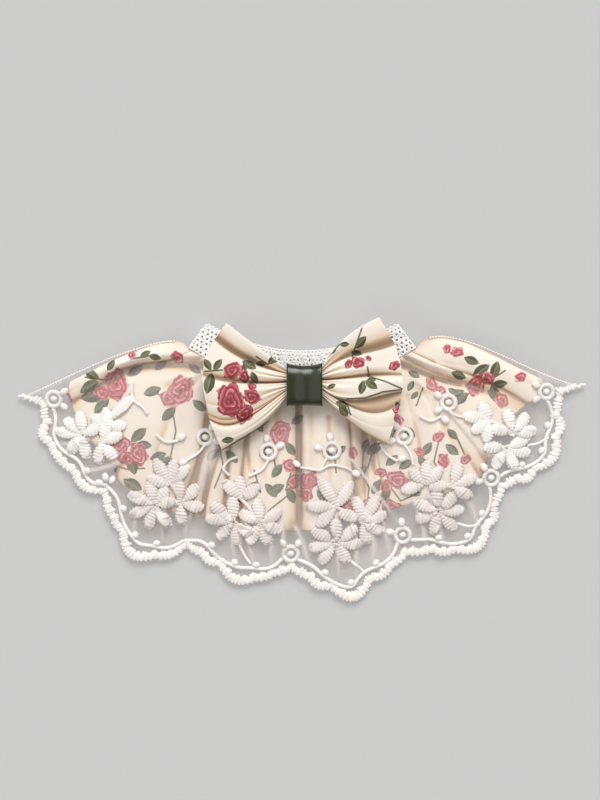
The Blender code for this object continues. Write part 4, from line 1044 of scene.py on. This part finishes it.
def cord_stitches(line, size=CORD_STITCH, step=CORD_STEP, lift=0.3):
    """Slanted stitches over a cord that follows a line."""
    points, ways = evenly(line, step)
    return laid(points, unit(ways + CORD_SLANT * left_of(ways)), size, lift)


def leaf_stitches(foot, tip, width, lift, blunt, fullness=0.45):
    """Satin stitches across a leaf or petal, over a padded base, following its outline.

    A blunt leaf is widest near its tip, and a low fullness gives it round ends.
    """
    foot, tip = np.array(foot, float), np.array(tip, float)
    length = np.linalg.norm(tip - foot)
    along = (tip - foot) / length
    count = max(3, round(length / SATIN_STEP))
    t = (np.arange(count) + 0.5) / count
    widths = width * np.sin(math.pi * t**blunt) ** fullness
    size = np.stack([widths, *(np.full(count, value) for value in SATIN)], axis=-1)
    ways = unit(left_of(along) + along * SATIN_SLANT)
    satin = laid(foot + (tip - foot) * t[:, None], ways, size, lift + LEAF_ARCH * np.sin(math.pi * t))
    size = np.array((length, width, 1.0)) * LEAF_PADDING
    return [satin, laid(foot + (tip - foot) * LEAF_MIDDLE, along, size, lift)]


def knob(place, way, size=KNOB):
    """A small round bud, longer one way."""
    return laid(place, way, size, KNOB_LIFT)


border = [border_stitches(fine_hem, lambda plan: ground(plan)[0] + BORDER_LIFT, 0.0)]
for share, corner in ((0.0, HEM_LOBES[0]), (1.0, HEM_LOBES[-1])):
    line = flounce_points(share, corner[:2], np.linspace(0.06, 0.97, 60))
    border.append(cord_stitches(line - (0.0, 0.5), size=FOLD_BEAD, step=FOLD_BEAD_STEP, lift=0.0))
inset = blurred(fine_hem + left_of(unit(np.gradient(fine_hem, axis=0))) * CORD_INSET, 4)
for start, end in zip(CORD_JUNCTIONS, CORD_JUNCTIONS[1:]):
    places = np.array((start[:2], end[:2]))
    first, last = (int(np.argmin(np.linalg.norm(inset - place, axis=1))) for place in places)
    line = inset[first : last + 1]
    line = line[np.linalg.norm(line[:, None] - places, axis=-1).min(axis=1) > JUNCTION_CLEAR]
    places = places + unit(line[[0, -1]] - places) * ((start[2],), (end[2],))
    line = np.concatenate([places[:1], line, places[1:]])
    points, ways = evenly(blurred(evenly(line, 1.0)[0], 3), 1.0)
    phase = np.linspace(0, 4 * math.pi, len(points))
    side = left_of(ways)
    points = points + side * (CORD_WAVE * np.sin(phase))[:, None]
    border.append(cord_stitches(points))
    for share in KNOB_SHARES:
        k = int(share * (len(points) - 1))
        border.append(knob(points[k] + side[k] * KNOB_ASIDE, ways[k]))
lace_border = grown("lace_front_border", stitch_nodes, border, white_thread, 8)
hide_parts("lace_front")

# Embroidered flowers: white satin-stitched petals and leaves over padding, six bunches of two flowers
# with a spray of leaves, machine-stitched to the net one in each scallop.

PETAL_WIDTH = 6.7
PETAL_FOOT = 1.3  # from the flower's centre
PETAL_REACH = 3.7  # from a petal's middle to its tip
LEAF_WIDTH = 6.9
SEEDS = 5
SEED = (1.6, 1.5, 1.4)
SEED_RING = 1.1
SEED_LIFT = 0.7
STALK_LIFT = 0.4
# For each bunch a flower's centre and its petals' middles, the same for the second flower, and the leaves
# as x and y of the foot and of the tip
BUNCHES = (
    (
        (-100.1, 12.0),
        ((-108.7, 13.4), (-105.5, 17.0), (-100.9, 18.9), (-95.8, 14.3), (-104.5, 6.9), (-99.2, 5.1)),
        (-91.6, 8.8),
        ((-85.7, 11.1), (-92.6, 2.8), (-87.8, 4.4), (-89.8, 13.8)),
        ((-88.0, 13.4, -89.5, 24.4), (-87.1, 16.6, -80.5, 16.1), (-89.4, 16.6, -95.5, 20.8),
         (-87.5, 19.8, -76.9, 29.5)),
    ),
    (
        (-67.3, -19.8),
        ((-75.1, -23.0), (-69.6, -27.1), (-62.9, -26.7), (-75.6, -16.3), (-63.8, -14.9), (-68.7, -12.9)),
        (-55.6, -18.8),
        ((-56.2, -11.5), (-61.5, -18.6), (-55.3, -25.3), (-50.2, -13.8), (-49.0, -20.5)),
        ((-60.8, -9.6, -66.8, 1.0), (-59.8, -9.0, -58.0, 0.5), (-60.8, -10.6, -70.5, -7.0),
         (-60.0, -9.0, -51.5, -2.0)),
    ),
    (
        (-31.4, -27.8),
        ((-38.3, -21.6), (-40.1, -26.2), (-36.0, -32.4), (-30.0, -34.6), (-25.4, -31.7), (-31.5, -20.2)),
        (-19.0, -28.2),
        ((-19.9, -21.1), (-12.9, -24.4), (-12.9, -30.3), (-16.7, -34.5), (-22.6, -34.0), (-24.9, -24.9)),
        ((-28.6, -16.6, -35.6, -8.6), (-28.2, -16.6, -28.2, -7.0), (-27.9, -16.6, -19.6, -11.2)),
    ),
    (
        (15.5, -36.8),
        ((15.5, -30.3), (8.2, -32.9), (7.0, -38.6), (10.5, -43.4), (18.9, -43.0), (24.0, -37.7),
         (22.1, -32.2)),
        (27.7, -27.3),
        ((25.6, -19.8), (32.5, -19.3), (34.8, -25.3), (33.7, -30.8), (28.9, -34.0), (20.6, -24.4)),
        ((15.7, -20.2, 7.7, -6.9), (15.9, -20.2, 22.9, -9.2), (14.9, -20.9, 1.7, -19.8),
         (14.9, -21.4, 6.8, -29.4)),
    ),
    (
        (62.2, -22.9),
        ((55.2, -19.9), (61.5, -16.4), (55.5, -25.4), (60.8, -29.9), (67.5, -28.4), (70.0, -22.3),
         (67.6, -17.2)),
        (68.2, -10.8),
        ((61.9, -11.0), (73.9, -14.6), (75.7, -8.2), (70.4, -4.2)),
        ((55.5, -9.7, 49.5, -3.5), (56.0, -9.2, 57.0, 0.0), (55.0, -10.6, 45.5, -13.0),
         (56.5, -9.6, 63.5, -3.1)),
    ),
    (
        (93.4, 6.0),
        ((86.8, 6.5), (89.6, 0.4), (96.0, -0.2), (100.4, 4.4), (100.6, 9.8)),
        (96.2, 12.9),
        ((100.7, 18.5), (94.2, 20.1), (89.6, 14.6), (103.1, 13.6)),
        ((85.0, 18.9, 77.5, 13.7), (85.0, 18.4, 83.6, 9.1), (85.0, 19.4, 81.5, 27.0),
         (84.6, 19.2, 73.2, 21.2)),
    ),
)

# The photo shows the outer two bunches clear and white, and the four between them duller.
# The four middle bunches use a darker copy of the white thread: painted shade, not a different thread
shaded_thread = thread_material("shaded thread", (0.72, 0.64, 0.595), (0.865, 0.79, 0.75))
OUTER_BUNCHES = (1, 6)


def ways_round(count):
    """Unit ways evenly all round."""
    turns = np.linspace(0, 2 * math.pi, count, endpoint=False)
    return np.stack([np.cos(turns), np.sin(turns)], axis=-1)


for number, (first, first_petals, second, second_petals, leaves) in enumerate(BUNCHES, start=1):
    rows = []
    for centre, petals in ((first, first_petals), (second, second_petals)):
        for petal in petals:
            outward = unit(np.subtract(petal, centre))
            foot, tip = centre + outward * PETAL_FOOT, petal + outward * PETAL_REACH
            rows += leaf_stitches(foot, tip, PETAL_WIDTH, lift=0.5, blunt=1.5, fullness=0.33)
        rows.append(laid(centre + SEED_RING * ways_round(SEEDS), (1.0, 0.0), SEED, SEED_LIFT))
    for x0, y0, x1, y1 in leaves:
        rows += leaf_stitches((x0, y0), (x1, y1), LEAF_WIDTH, lift=0.45, blunt=1.15)
    node = np.mean([leaf[:2] for leaf in leaves], axis=0)
    stalk = smoothed([node, (node * 0.6 + np.array(second) * 0.4) + (0.8, 0.0), second])
    rows.append(cord_stitches(stalk, lift=STALK_LIFT))
    thread = white_thread if number in OUTER_BUNCHES else shaded_thread
    flowers = grown(f"embroidered_bunch_{number}", stitch_nodes, rows, thread, 8)
    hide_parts(f"embroidery_{number}")

# Corded rings of the lace: small satin-stitched eyelets, each with a ball in the middle and two buds,
# where the cord's scallops meet and above the bunches. Fine corded stalks join them to the leaves.

RINGS = (
    (-113.7, 28.6, 3.4), (-44.3, 11.1, 3.3), (-5.2, -42.3, 3.4), (-15.3, 4.6, 3.4), (13.5, 5.1, 3.6),
    (46.1, -33.8, 3.4), (46.4, 11.6, 3.4), (86.4, -7.5, 3.4), (66.6, 27.0, 3.2), (111.7, 32.0, 3.2),
)
RING_STITCHES = 32
RING_LIFT = 0.5
RING_BUD_AWAY = 2.6
RING_BAND = (2.2, 0.85, 1.15)
RING_BALL = (3.3, 3.3 * 0.92, 1.7)
FALL_IN = (-5.0, 25.0)  # the buds point to about the middle of the neck
EAR_TURN = 0.62
STALKS = (
    ((11.4, 2.0), (9.6, -1.0), (8.2, -4.0)),
    ((-0.1, -2.7), (4.0, -3.3), (8.2, -4.1), (11.0, -2.2), (13.7, -1.4), (17.0, -2.0), (19.7, -2.7),
     (22.0, -4.0)),
    ((20.6, -44.0), (24.5, -47.5), (28.2, -50.5)),
    ((-28.6, -38.6), (-26.5, -43.0), (-24.0, -46.5)),
    ((-77.4, 35.4), (-77.8, 31.0), (-76.5, 27.2), (-73.0, 25.5), (-70.5, 22.1)),
    ((71.6, -28.5), (76.0, -30.0), (80.8, -29.0)),
    ((103.8, 7.4), (108.0, 8.0), (112.6, 10.6)),
    ((-15.3, 1.0), (-18.0, -4.0), (-24.0, -6.5)),
    ((-44.3, 7.6), (-47.5, 3.5), (-52.0, 1.0)),
    ((46.4, 8.0), (49.5, 4.0), (50.5, -1.0)),
    ((66.6, 23.6), (69.0, 21.0), (73.0, 20.5)),
    ((-30.0, 2.0), (-34.0, 0.5), (-36.5, -3.5), (-33.5, -6.0)),
    ((36.0, 7.5), (38.5, 3.0), (43.0, 0.5)),
    ((54.0, 20.5), (58.5, 18.0), (63.0, 20.5)),
    ((-66.0, 12.0), (-62.0, 8.5), (-57.0, 9.5)),
)
STALK_STITCH = (1.7, 1.4, 1.3)
RING_BUD = (4.4, 3.6, 2.1)
LOOSE_BUDS = (
    (-88.6, -11.5, -86.5, -7.5), (-90.0, -10.8, -93.8, -9.5), (-89.2, -10.2, -90.2, -6.2),
    (22.0, -4.0, 25.5, -6.0), (-0.5, -2.7, -3.2, -0.4), (-52.0, 1.0, -55.0, -1.0), (43.0, 0.5, 46.5, 1.8),
    (63.0, 20.5, 66.0, 18.4), (-57.0, 9.5, -54.0, 11.8),
)

rows = []
for x, y, radius in RINGS:
    outward = ways_round(RING_STITCHES)
    rows.append(laid((x, y) + outward * radius, outward, RING_BAND, RING_LIFT))
    rows.append(laid((x, y), (1.0, 0.0), RING_BALL, RING_LIFT))
    aim = math.atan2(FALL_IN[1] - y, FALL_IN[0] - x)
    for turn in (aim - EAR_TURN, aim + EAR_TURN):
        out = np.array((math.cos(turn), math.sin(turn)))
        rows.append(knob((x, y) + out * (radius + RING_BUD_AWAY), out, RING_BUD))
for stalk in STALKS:
    rows.append(cord_stitches(smoothed(stalk), size=STALK_STITCH, lift=STALK_LIFT))
for x0, y0, x1, y1 in LOOSE_BUDS:
    way = unit(np.array((x1 - x0, y1 - y0)))
    rows.append(knob((x1, y1) - way, way, RING_BUD))
ring_work = grown("corded_rings", stitch_nodes, rows, white_thread, 7)
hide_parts(*[f"ring_{k}" for k in range(1, len(RINGS) + 1)])

# Bow: a strip of the printed cotton folded to two layers and gathered in the middle. Pleats spread from
# the knot into two wings, with their own print of roses on thin stems.

KNOT_SIDE_X = {-1: -6.8, 1: 8.8}
BOW_MIDDLE_X = 1.0
BOW_BASE = 12.2
# Crests and valleys from the top edge down: where each meets the wing's outer edge, its height on the
# page a third and two thirds of the way out, where it leaves the knot, and how high it lies over the
# bow's base at the knot, half way out and at the wing's edge
BOW_LINES = {
    -1: (
        (-34.2, 62.9, 49.0, 55.8, 42.2, 4.6, 6.2, 5.8),
        (-39.4, 55.9, 43.2, 48.0, 40.2, 3.4, 1.6, 2.2),
        (-40.6, 54.0, 41.6, 46.2, 39.2, 5.0, 6.8, 6.6),
        (-44.2, 46.5, 39.2, 42.0, 37.8, 4.6, 6.4, 6.6),
        (-44.8, 39.6, 35.9, 36.8, 36.4, 1.0, 2.6, 5.4),
        (-44.9, 34.6, 34.2, 34.0, 35.4, 5.0, 7.8, 7.2),
        (-43.4, 27.0, 29.4, 26.0, 33.8, 4.6, 6.2, 5.6),
        (-42.4, 21.6, 25.2, 19.6, 32.9, 3.4, 3.2, 3.2),
        (-42.0, 19.4, 24.0, 17.4, 32.4, 2.8, 1.4, 1.8),
        (-41.4, 17.6, 22.6, 15.7, 31.7, 4.8, 5.6, 5.2),
        (-38.9, 11.6, 20.3, 13.3, 30.6, 4.2, 4.8, 4.0),
        (-36.2, 5.1, 17.8, 10.8, 29.6, 2.4, 1.8, 1.6),
    ),
    1: (
        (34.7, 65.5, 54.2, 61.0, 42.8, 4.6, 6.2, 5.8),
        (41.9, 53.6, 47.4, 50.2, 41.0, 3.4, 1.6, 2.0),
        (42.2, 52.0, 46.0, 48.7, 40.0, 4.8, 6.8, 6.4),
        (44.4, 44.6, 41.6, 43.4, 38.6, 4.6, 6.4, 6.4),
        (45.1, 39.4, 38.3, 39.4, 37.4, 1.2, 3.0, 5.6),
        (45.3, 36.4, 36.4, 36.8, 36.2, 5.0, 7.6, 7.0),
        (45.3, 33.2, 29.4, 31.2, 34.0, 4.6, 6.6, 6.2),
        (45.1, 31.8, 28.0, 29.2, 33.3, 2.8, 1.8, 2.6),
        (44.5, 27.4, 25.8, 22.4, 32.7, 2.8, 1.4, 1.8),
        (44.0, 25.4, 24.6, 20.8, 32.0, 4.8, 5.6, 5.2),
        (41.4, 17.0, 22.8, 17.0, 30.8, 4.2, 4.8, 4.0),
        (38.5, 7.8, 20.6, 13.2, 29.6, 2.4, 1.8, 1.6),
    ),
}
BOW_STEPS = 10
BOW_COLUMNS = 62
BOW_THICK = 0.6
# Small pleats at the knot: how many lie across it, how deep they are, and how far out they reach
PLEATS = 15.0
PLEAT_DEPTH = 0.42
PLEAT_REACH = 0.34
SAG = 0.7
SAG_TURNS = (9.0, 14.0)  # outwards and down the wing
MIDDLE_LINES = 7  # lines of points under the knot
BOW_ROSES = (
    (-32.4, 27.8, 7.9), (-22.8, 29.6, 4.2), (-26.0, 21.8, 4.7), (-22.6, 34.0, 2.3), (-31.2, 41.4, 4.6),
    (-26.2, 38.8, 3.0), (24.9, 45.0, 3.4), (20.9, 44.4, 2.2), (29.8, 46.8, 1.5), (41.6, 43.6, 2.7),
    (43.8, 19.6, 3.2), (43.0, 23.6, 2.2),
)
BOW_LEAVES = (
    (-41.0, 41.4, -44.2, 46.8), (-40.0, 41.4, -36.2, 46.6), (-40.8, 40.6, -43.0, 30.6),
    (-27.2, 45.8, -20.6, 42.2), (-25.6, 41.0, -25.8, 46.4), (-23.0, 41.0, -20.4, 35.2),
    (-15.6, 44.3, -10.6, 48.4), (-16.0, 44.6, -21.2, 44.6), (-36.6, 9.6, -30.6, 10.4),
    (28.9, 57.0, 24.0, 51.4), (22.0, 49.8, 27.4, 48.8), (16.6, 53.0, 21.4, 53.4),
    (12.6, 48.6, 15.4, 52.4), (26.3, 30.4, 27.8, 37.2), (28.0, 37.0, 34.0, 33.2),
    (28.6, 36.6, 33.6, 37.6), (11.2, 33.4, 15.2, 35.2), (15.0, 27.2, 21.2, 25.2),
    (16.6, 26.2, 20.8, 20.4), (42.4, 27.6, 44.8, 22.8),
)
BOW_STEMS = (
    (-20.7, 47.7, -15.6, 44.3), (-15.6, 44.3, -8.0, 46.6), (-44.0, 41.0, -36.0, 41.6),
    (-35.4, 5.6, -29.0, 9.8), (-29.0, 9.8, -21.0, 14.4), (-21.0, 14.4, -10.6, 21.4),
    (26.9, 60.5, 23.5, 50.6), (16.8, 53.1, 9.8, 45.6), (23.5, 50.6, 22.6, 47.4), (29.6, 38.9, 37.6, 36.4),
    (37.6, 36.4, 45.3, 33.0), (20.2, 28.6, 28.3, 28.9), (28.3, 28.9, 36.4, 31.8),
    (36.4, 31.8, 45.3, 32.8), (30.2, 38.6, 29.4, 43.0), (20.4, 26.0, 21.8, 21.4),
)


def cubic_through(values, t):
    """The smooth curve that passes the four values at 0, 1/3, 2/3 and 1."""
    stops = (0.0, 1 / 3, 2 / 3, 1.0)
    total = 0.0
    for i, value in enumerate(values):
        weight = 1.0
        for j, stop in enumerate(stops):
            if i != j:
                weight = weight * (t - stop) / (stops[i] - stop)
        total = total + value * weight
    return total


def bow_key_points(side, t):
    """The bow's lines at t from the knot's edge (0) to the wing's outer edge (1)."""
    keys = []
    for end_x, end_y, y1, y2, knot_y, z0, z1, z2 in BOW_LINES[side]:
        x = KNOT_SIDE_X[side] + (end_x - KNOT_SIDE_X[side]) * t
        y = cubic_through((knot_y, y1, y2, end_y), t)
        z = z0 * (1 - t) * (1 - 2 * t) + z1 * 4 * t * (1 - t) + z2 * t * (2 * t - 1)
        keys.append((x, y, BOW_BASE + z))
    return np.array(keys)


def between_lines(keys, steps):
    """Points across the bow: valleys stay sharp and crests are rounded."""
    t = (np.arange(steps) + 1) / steps
    row = [keys[:1]]
    for low, high in zip(keys, keys[1:]):
        points = low + (high - low) * t[:, None]
        rising = high[2] > low[2]
        lift = np.sin(math.pi / 2 * t) if rising else 1 - np.sin(math.pi / 2 * (1 - t))
        points[:, 2] = low[2] + (high[2] - low[2]) * lift
        row.append(points)
    return np.concatenate(row)


out_shares = np.sin(math.pi / 2 * np.linspace(0, 1, BOW_COLUMNS))
left = [bow_key_points(-1, t) for t in out_shares[::-1]]
right = [bow_key_points(1, t) for t in out_shares]
middle = [left[-1] * (1 - t) + right[0] * t for t in np.linspace(0, 1, MIDDLE_LINES + 2)[1:-1]]
bow_keys = left + middle + right
bow_upper = np.array([between_lines(keys, BOW_STEPS) for keys in bow_keys]).transpose(1, 0, 2)
out = np.concatenate([out_shares[::-1], np.zeros(len(middle)), out_shares])
across = np.linspace(0, 1, bow_upper.shape[0])[:, None]
pleat = np.sin(2 * math.pi * PLEATS * (across + 0.01 * np.sin(9 * across)))
bow_upper[..., 2] += PLEAT_DEPTH * pleat * np.exp(-((out / PLEAT_REACH) ** 2))
bow_upper[..., 2] += SAG * np.sin(out * SAG_TURNS[0] + across * SAG_TURNS[1]) * out * (1 - out)
bow_lower = bow_upper - (BOW_THICK * steepness(bow_upper))[..., None] * UP
bow_cotton = cotton_material("bow cotton", (0.34, 0.026, 0.05), (0.74, 0.32, 0.33))
BOW_PRINT = (BOW_ROSES, BOW_LEAVES, BOW_STEMS)
bow_front = printed_shell("bow_front_cotton", bow_upper, bow_lower, bow_cotton, BOW_PRINT)
# Painted shade in the bow's folds
add_painted_fold_shade(bow_front, bow_upper[..., 2], reach=6, depth=0.9)
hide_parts("bow_front")

# Back layer of the bow: the other half of the folded strip. It lies flat under the wings and shows a
# narrow lip below the left one.

BOW_BACK_HEIGHT = 11.3
BOW_BACK_INSET = 1.4
BOW_BACK_GATHER = 2.4
BOW_BACK_DROP = 2.2
BOW_BACK_DROP_X = -16.0
BOW_BACK_DROP_HALF = 8.0
BOW_BACK_DISH = 0.4
BOW_BACK_ROWS = 14
BOW_HALF_WIDTH = 40.0

shares = np.linspace(0, 1, BOW_BACK_ROWS)[:, None]
columns = []
for keys in bow_keys[::2]:
    away = min(abs(keys[0, 0] - BOW_MIDDLE_X) / BOW_HALF_WIDTH, 1.0)
    peek = BOW_BACK_DROP * math.exp(-(((keys[-1, 0] - BOW_BACK_DROP_X) / BOW_BACK_DROP_HALF) ** 2))
    gathered = BOW_BACK_GATHER * (1 - away)
    top = keys[0, :2] - np.array([0.0, BOW_BACK_INSET + gathered])
    foot = keys[-1, :2] + np.array([0.0, BOW_BACK_INSET * away + gathered - peek])
    pull = np.array([-BOW_BACK_INSET * np.sign(keys[0, 0] - BOW_MIDDLE_X) * away, 0.0])
    height = BOW_BACK_HEIGHT - BOW_BACK_DISH * (1 - np.sin(math.pi * shares[:, 0]))
    columns.append(with_height(top + (foot - top) * shares + pull, height))
back_upper = np.array(columns).transpose(1, 0, 2)
back_lower = back_upper - (0.0, 0.0, BOW_THICK)
bow_back = printed_shell("bow_back_cotton", back_upper, back_lower, bow_cotton, BOW_PRINT, below=(-1, 1))
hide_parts("bow_back")

# Knot: a loop of dark green satin ribbon, pulled tight round the bow's middle and sewn shut behind. It
# has a woven selvage of tiny loops at both edges.

KNOT_HALF_WIDTH = 7.9
KNOT_HALF_HEIGHT = 9.7
KNOT_LOW = 8.5
KNOT_TOP = 19.8
KNOT_MIDDLE_Y = 35.1
KNOT_SQUARENESS = 0.64
KNOT_WAIST = 0.25
KNOT_DIP = 0.9  # how far the top edge dips between its corners
RIBBON_THICK = 0.6
RIBBON_UNEVEN = 0.12
KNOT_SIDES = 96
KNOT_WIDE_STEPS = 26
SELVAGE_STEP = 0.9
SELVAGE_LOOP = (0.62, 0.5, 0.5)


satin, satin_shader, add, links = shader_material("green satin", (0.015, 0.022, 0.004), 0.26)
where = add("TexCoord").outputs["Object"]
stretched = add("Mapping", Vector=where, Scale=(900.0, 60.0, 60.0))
warp = add("TexNoise", Vector=stretched.outputs["Vector"], Scale=2.0, Detail=2.0)
bump = add("Bump", Height=warp.outputs["Fac"], Strength=0.18, Distance=0.0002)
links.new(bump.outputs["Normal"], satin_shader.inputs["Normal"])
satin_shader.inputs["Specular IOR Level"].default_value = 0.6

turns = np.arange(KNOT_SIDES) / KNOT_SIDES * 2 * math.pi
rings = []
for side, shrink in ((1, 0.0), (-1, RIBBON_THICK)):
    for along in np.linspace(-1, 1, KNOT_WIDE_STEPS) * side:
        squeeze = KNOT_WAIST * (1 - along**2) + shrink
        half_y = KNOT_HALF_HEIGHT - squeeze - KNOT_DIP * (1 - along**2) * (np.cos(turns) > 0)
        uneven = RIBBON_UNEVEN * np.sin(along * 7 + 2) * (shrink == 0.0)
        half_z = (KNOT_TOP - KNOT_LOW) / 2 - squeeze + uneven
        c, s = np.cos(turns), np.sin(turns)
        y = KNOT_MIDDLE_Y + half_y * np.sign(c) * np.abs(c) ** KNOT_SQUARENESS
        z = (KNOT_TOP + KNOT_LOW) / 2 + half_z * np.sign(s) * np.abs(s) ** KNOT_SQUARENESS
        rings.append(np.stack([np.full(KNOT_SIDES, BOW_MIDDLE_X + along * KNOT_HALF_WIDTH), y, z], axis=-1))
ring_points = np.array(rings)
count = len(rings)
here = np.arange(count)[:, None] * KNOT_SIDES + np.arange(KNOT_SIDES)
after = np.roll(here, -1, axis=1)
faces = np.stack([here, after, np.roll(after, -1, axis=0), np.roll(here, -1, axis=0)], axis=-1).reshape(-1, 4)
knot = mesh_object("knot_satin", ring_points, faces, satin)
loops = []
for edge in (ring_points[0], ring_points[KNOT_WIDE_STEPS - 1]):
    places, ways = evenly(np.concatenate([edge, edge[:1]]), SELVAGE_STEP, closed=True)
    outward = np.sign(edge[0, 0] - BOW_MIDDLE_X)
    loops.append(stitch_rows(places, ways, (outward, 0.0, 0.0), SELVAGE_LOOP))
selvage = grown("knot_selvage", stitch_nodes, loops, satin, 6)
for made in (knot, selvage):
    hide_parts("bow_knot")

# Stage: a grey studio floor that glows a little, so that it looks pale. A soft light comes from the neck's
# side and a weaker one from the left, in pale air. The camera looks straight down at the collar.

floor_material, floor_shader, _, _ = shader_material("studio floor", (0.35, 0.35, 0.35), 0.9)
floor_shader.inputs["Emission Color"].default_value = (1.0, 1.0, 1.0, 1.0)
floor_shader.inputs["Emission Strength"].default_value = 0.21
floor_mesh = bpy.data.meshes.new("studio_floor")
floor_mesh.from_pydata([(-3, -3, 0), (3, -3, 0), (3, 3, 0), (-3, 3, 0)], [], [(0, 1, 2, 3)])
floor_mesh.materials.append(floor_material)
studio_floor = placed("studio_floor", floor_mesh)
studio_floor.location.z = -0.0002

for name, way, width, power in (("key", (0.2, 1.0, 1.0), 0.65, 2.5), ("fill", (-0.8, -0.3, 1.2), 1.5, 0.95)):
    lamp = bpy.data.lights.new(name, "SUN")
    lamp.angle = width
    lamp.energy = power
    holder = placed(name, lamp)
    holder.location = way
    holder.rotation_euler = (-Vector(way)).to_track_quat("-Z", "Y").to_euler()
world = bpy.data.worlds.new("studio air")
world.use_nodes = True
world.node_tree.nodes["Background"].inputs["Color"].default_value = (1.0, 0.985, 0.97, 1.0)
world.node_tree.nodes["Background"].inputs["Strength"].default_value = 0.3
bpy.context.scene.world = world
bpy.context.scene.view_settings.view_transform = "Standard"

lens = bpy.data.cameras.new("camera")
lens.lens = 90.0
camera = placed("camera", lens)
camera.location = (-0.001, 0.0281, 0.92)
bpy.context.scene.camera = camera
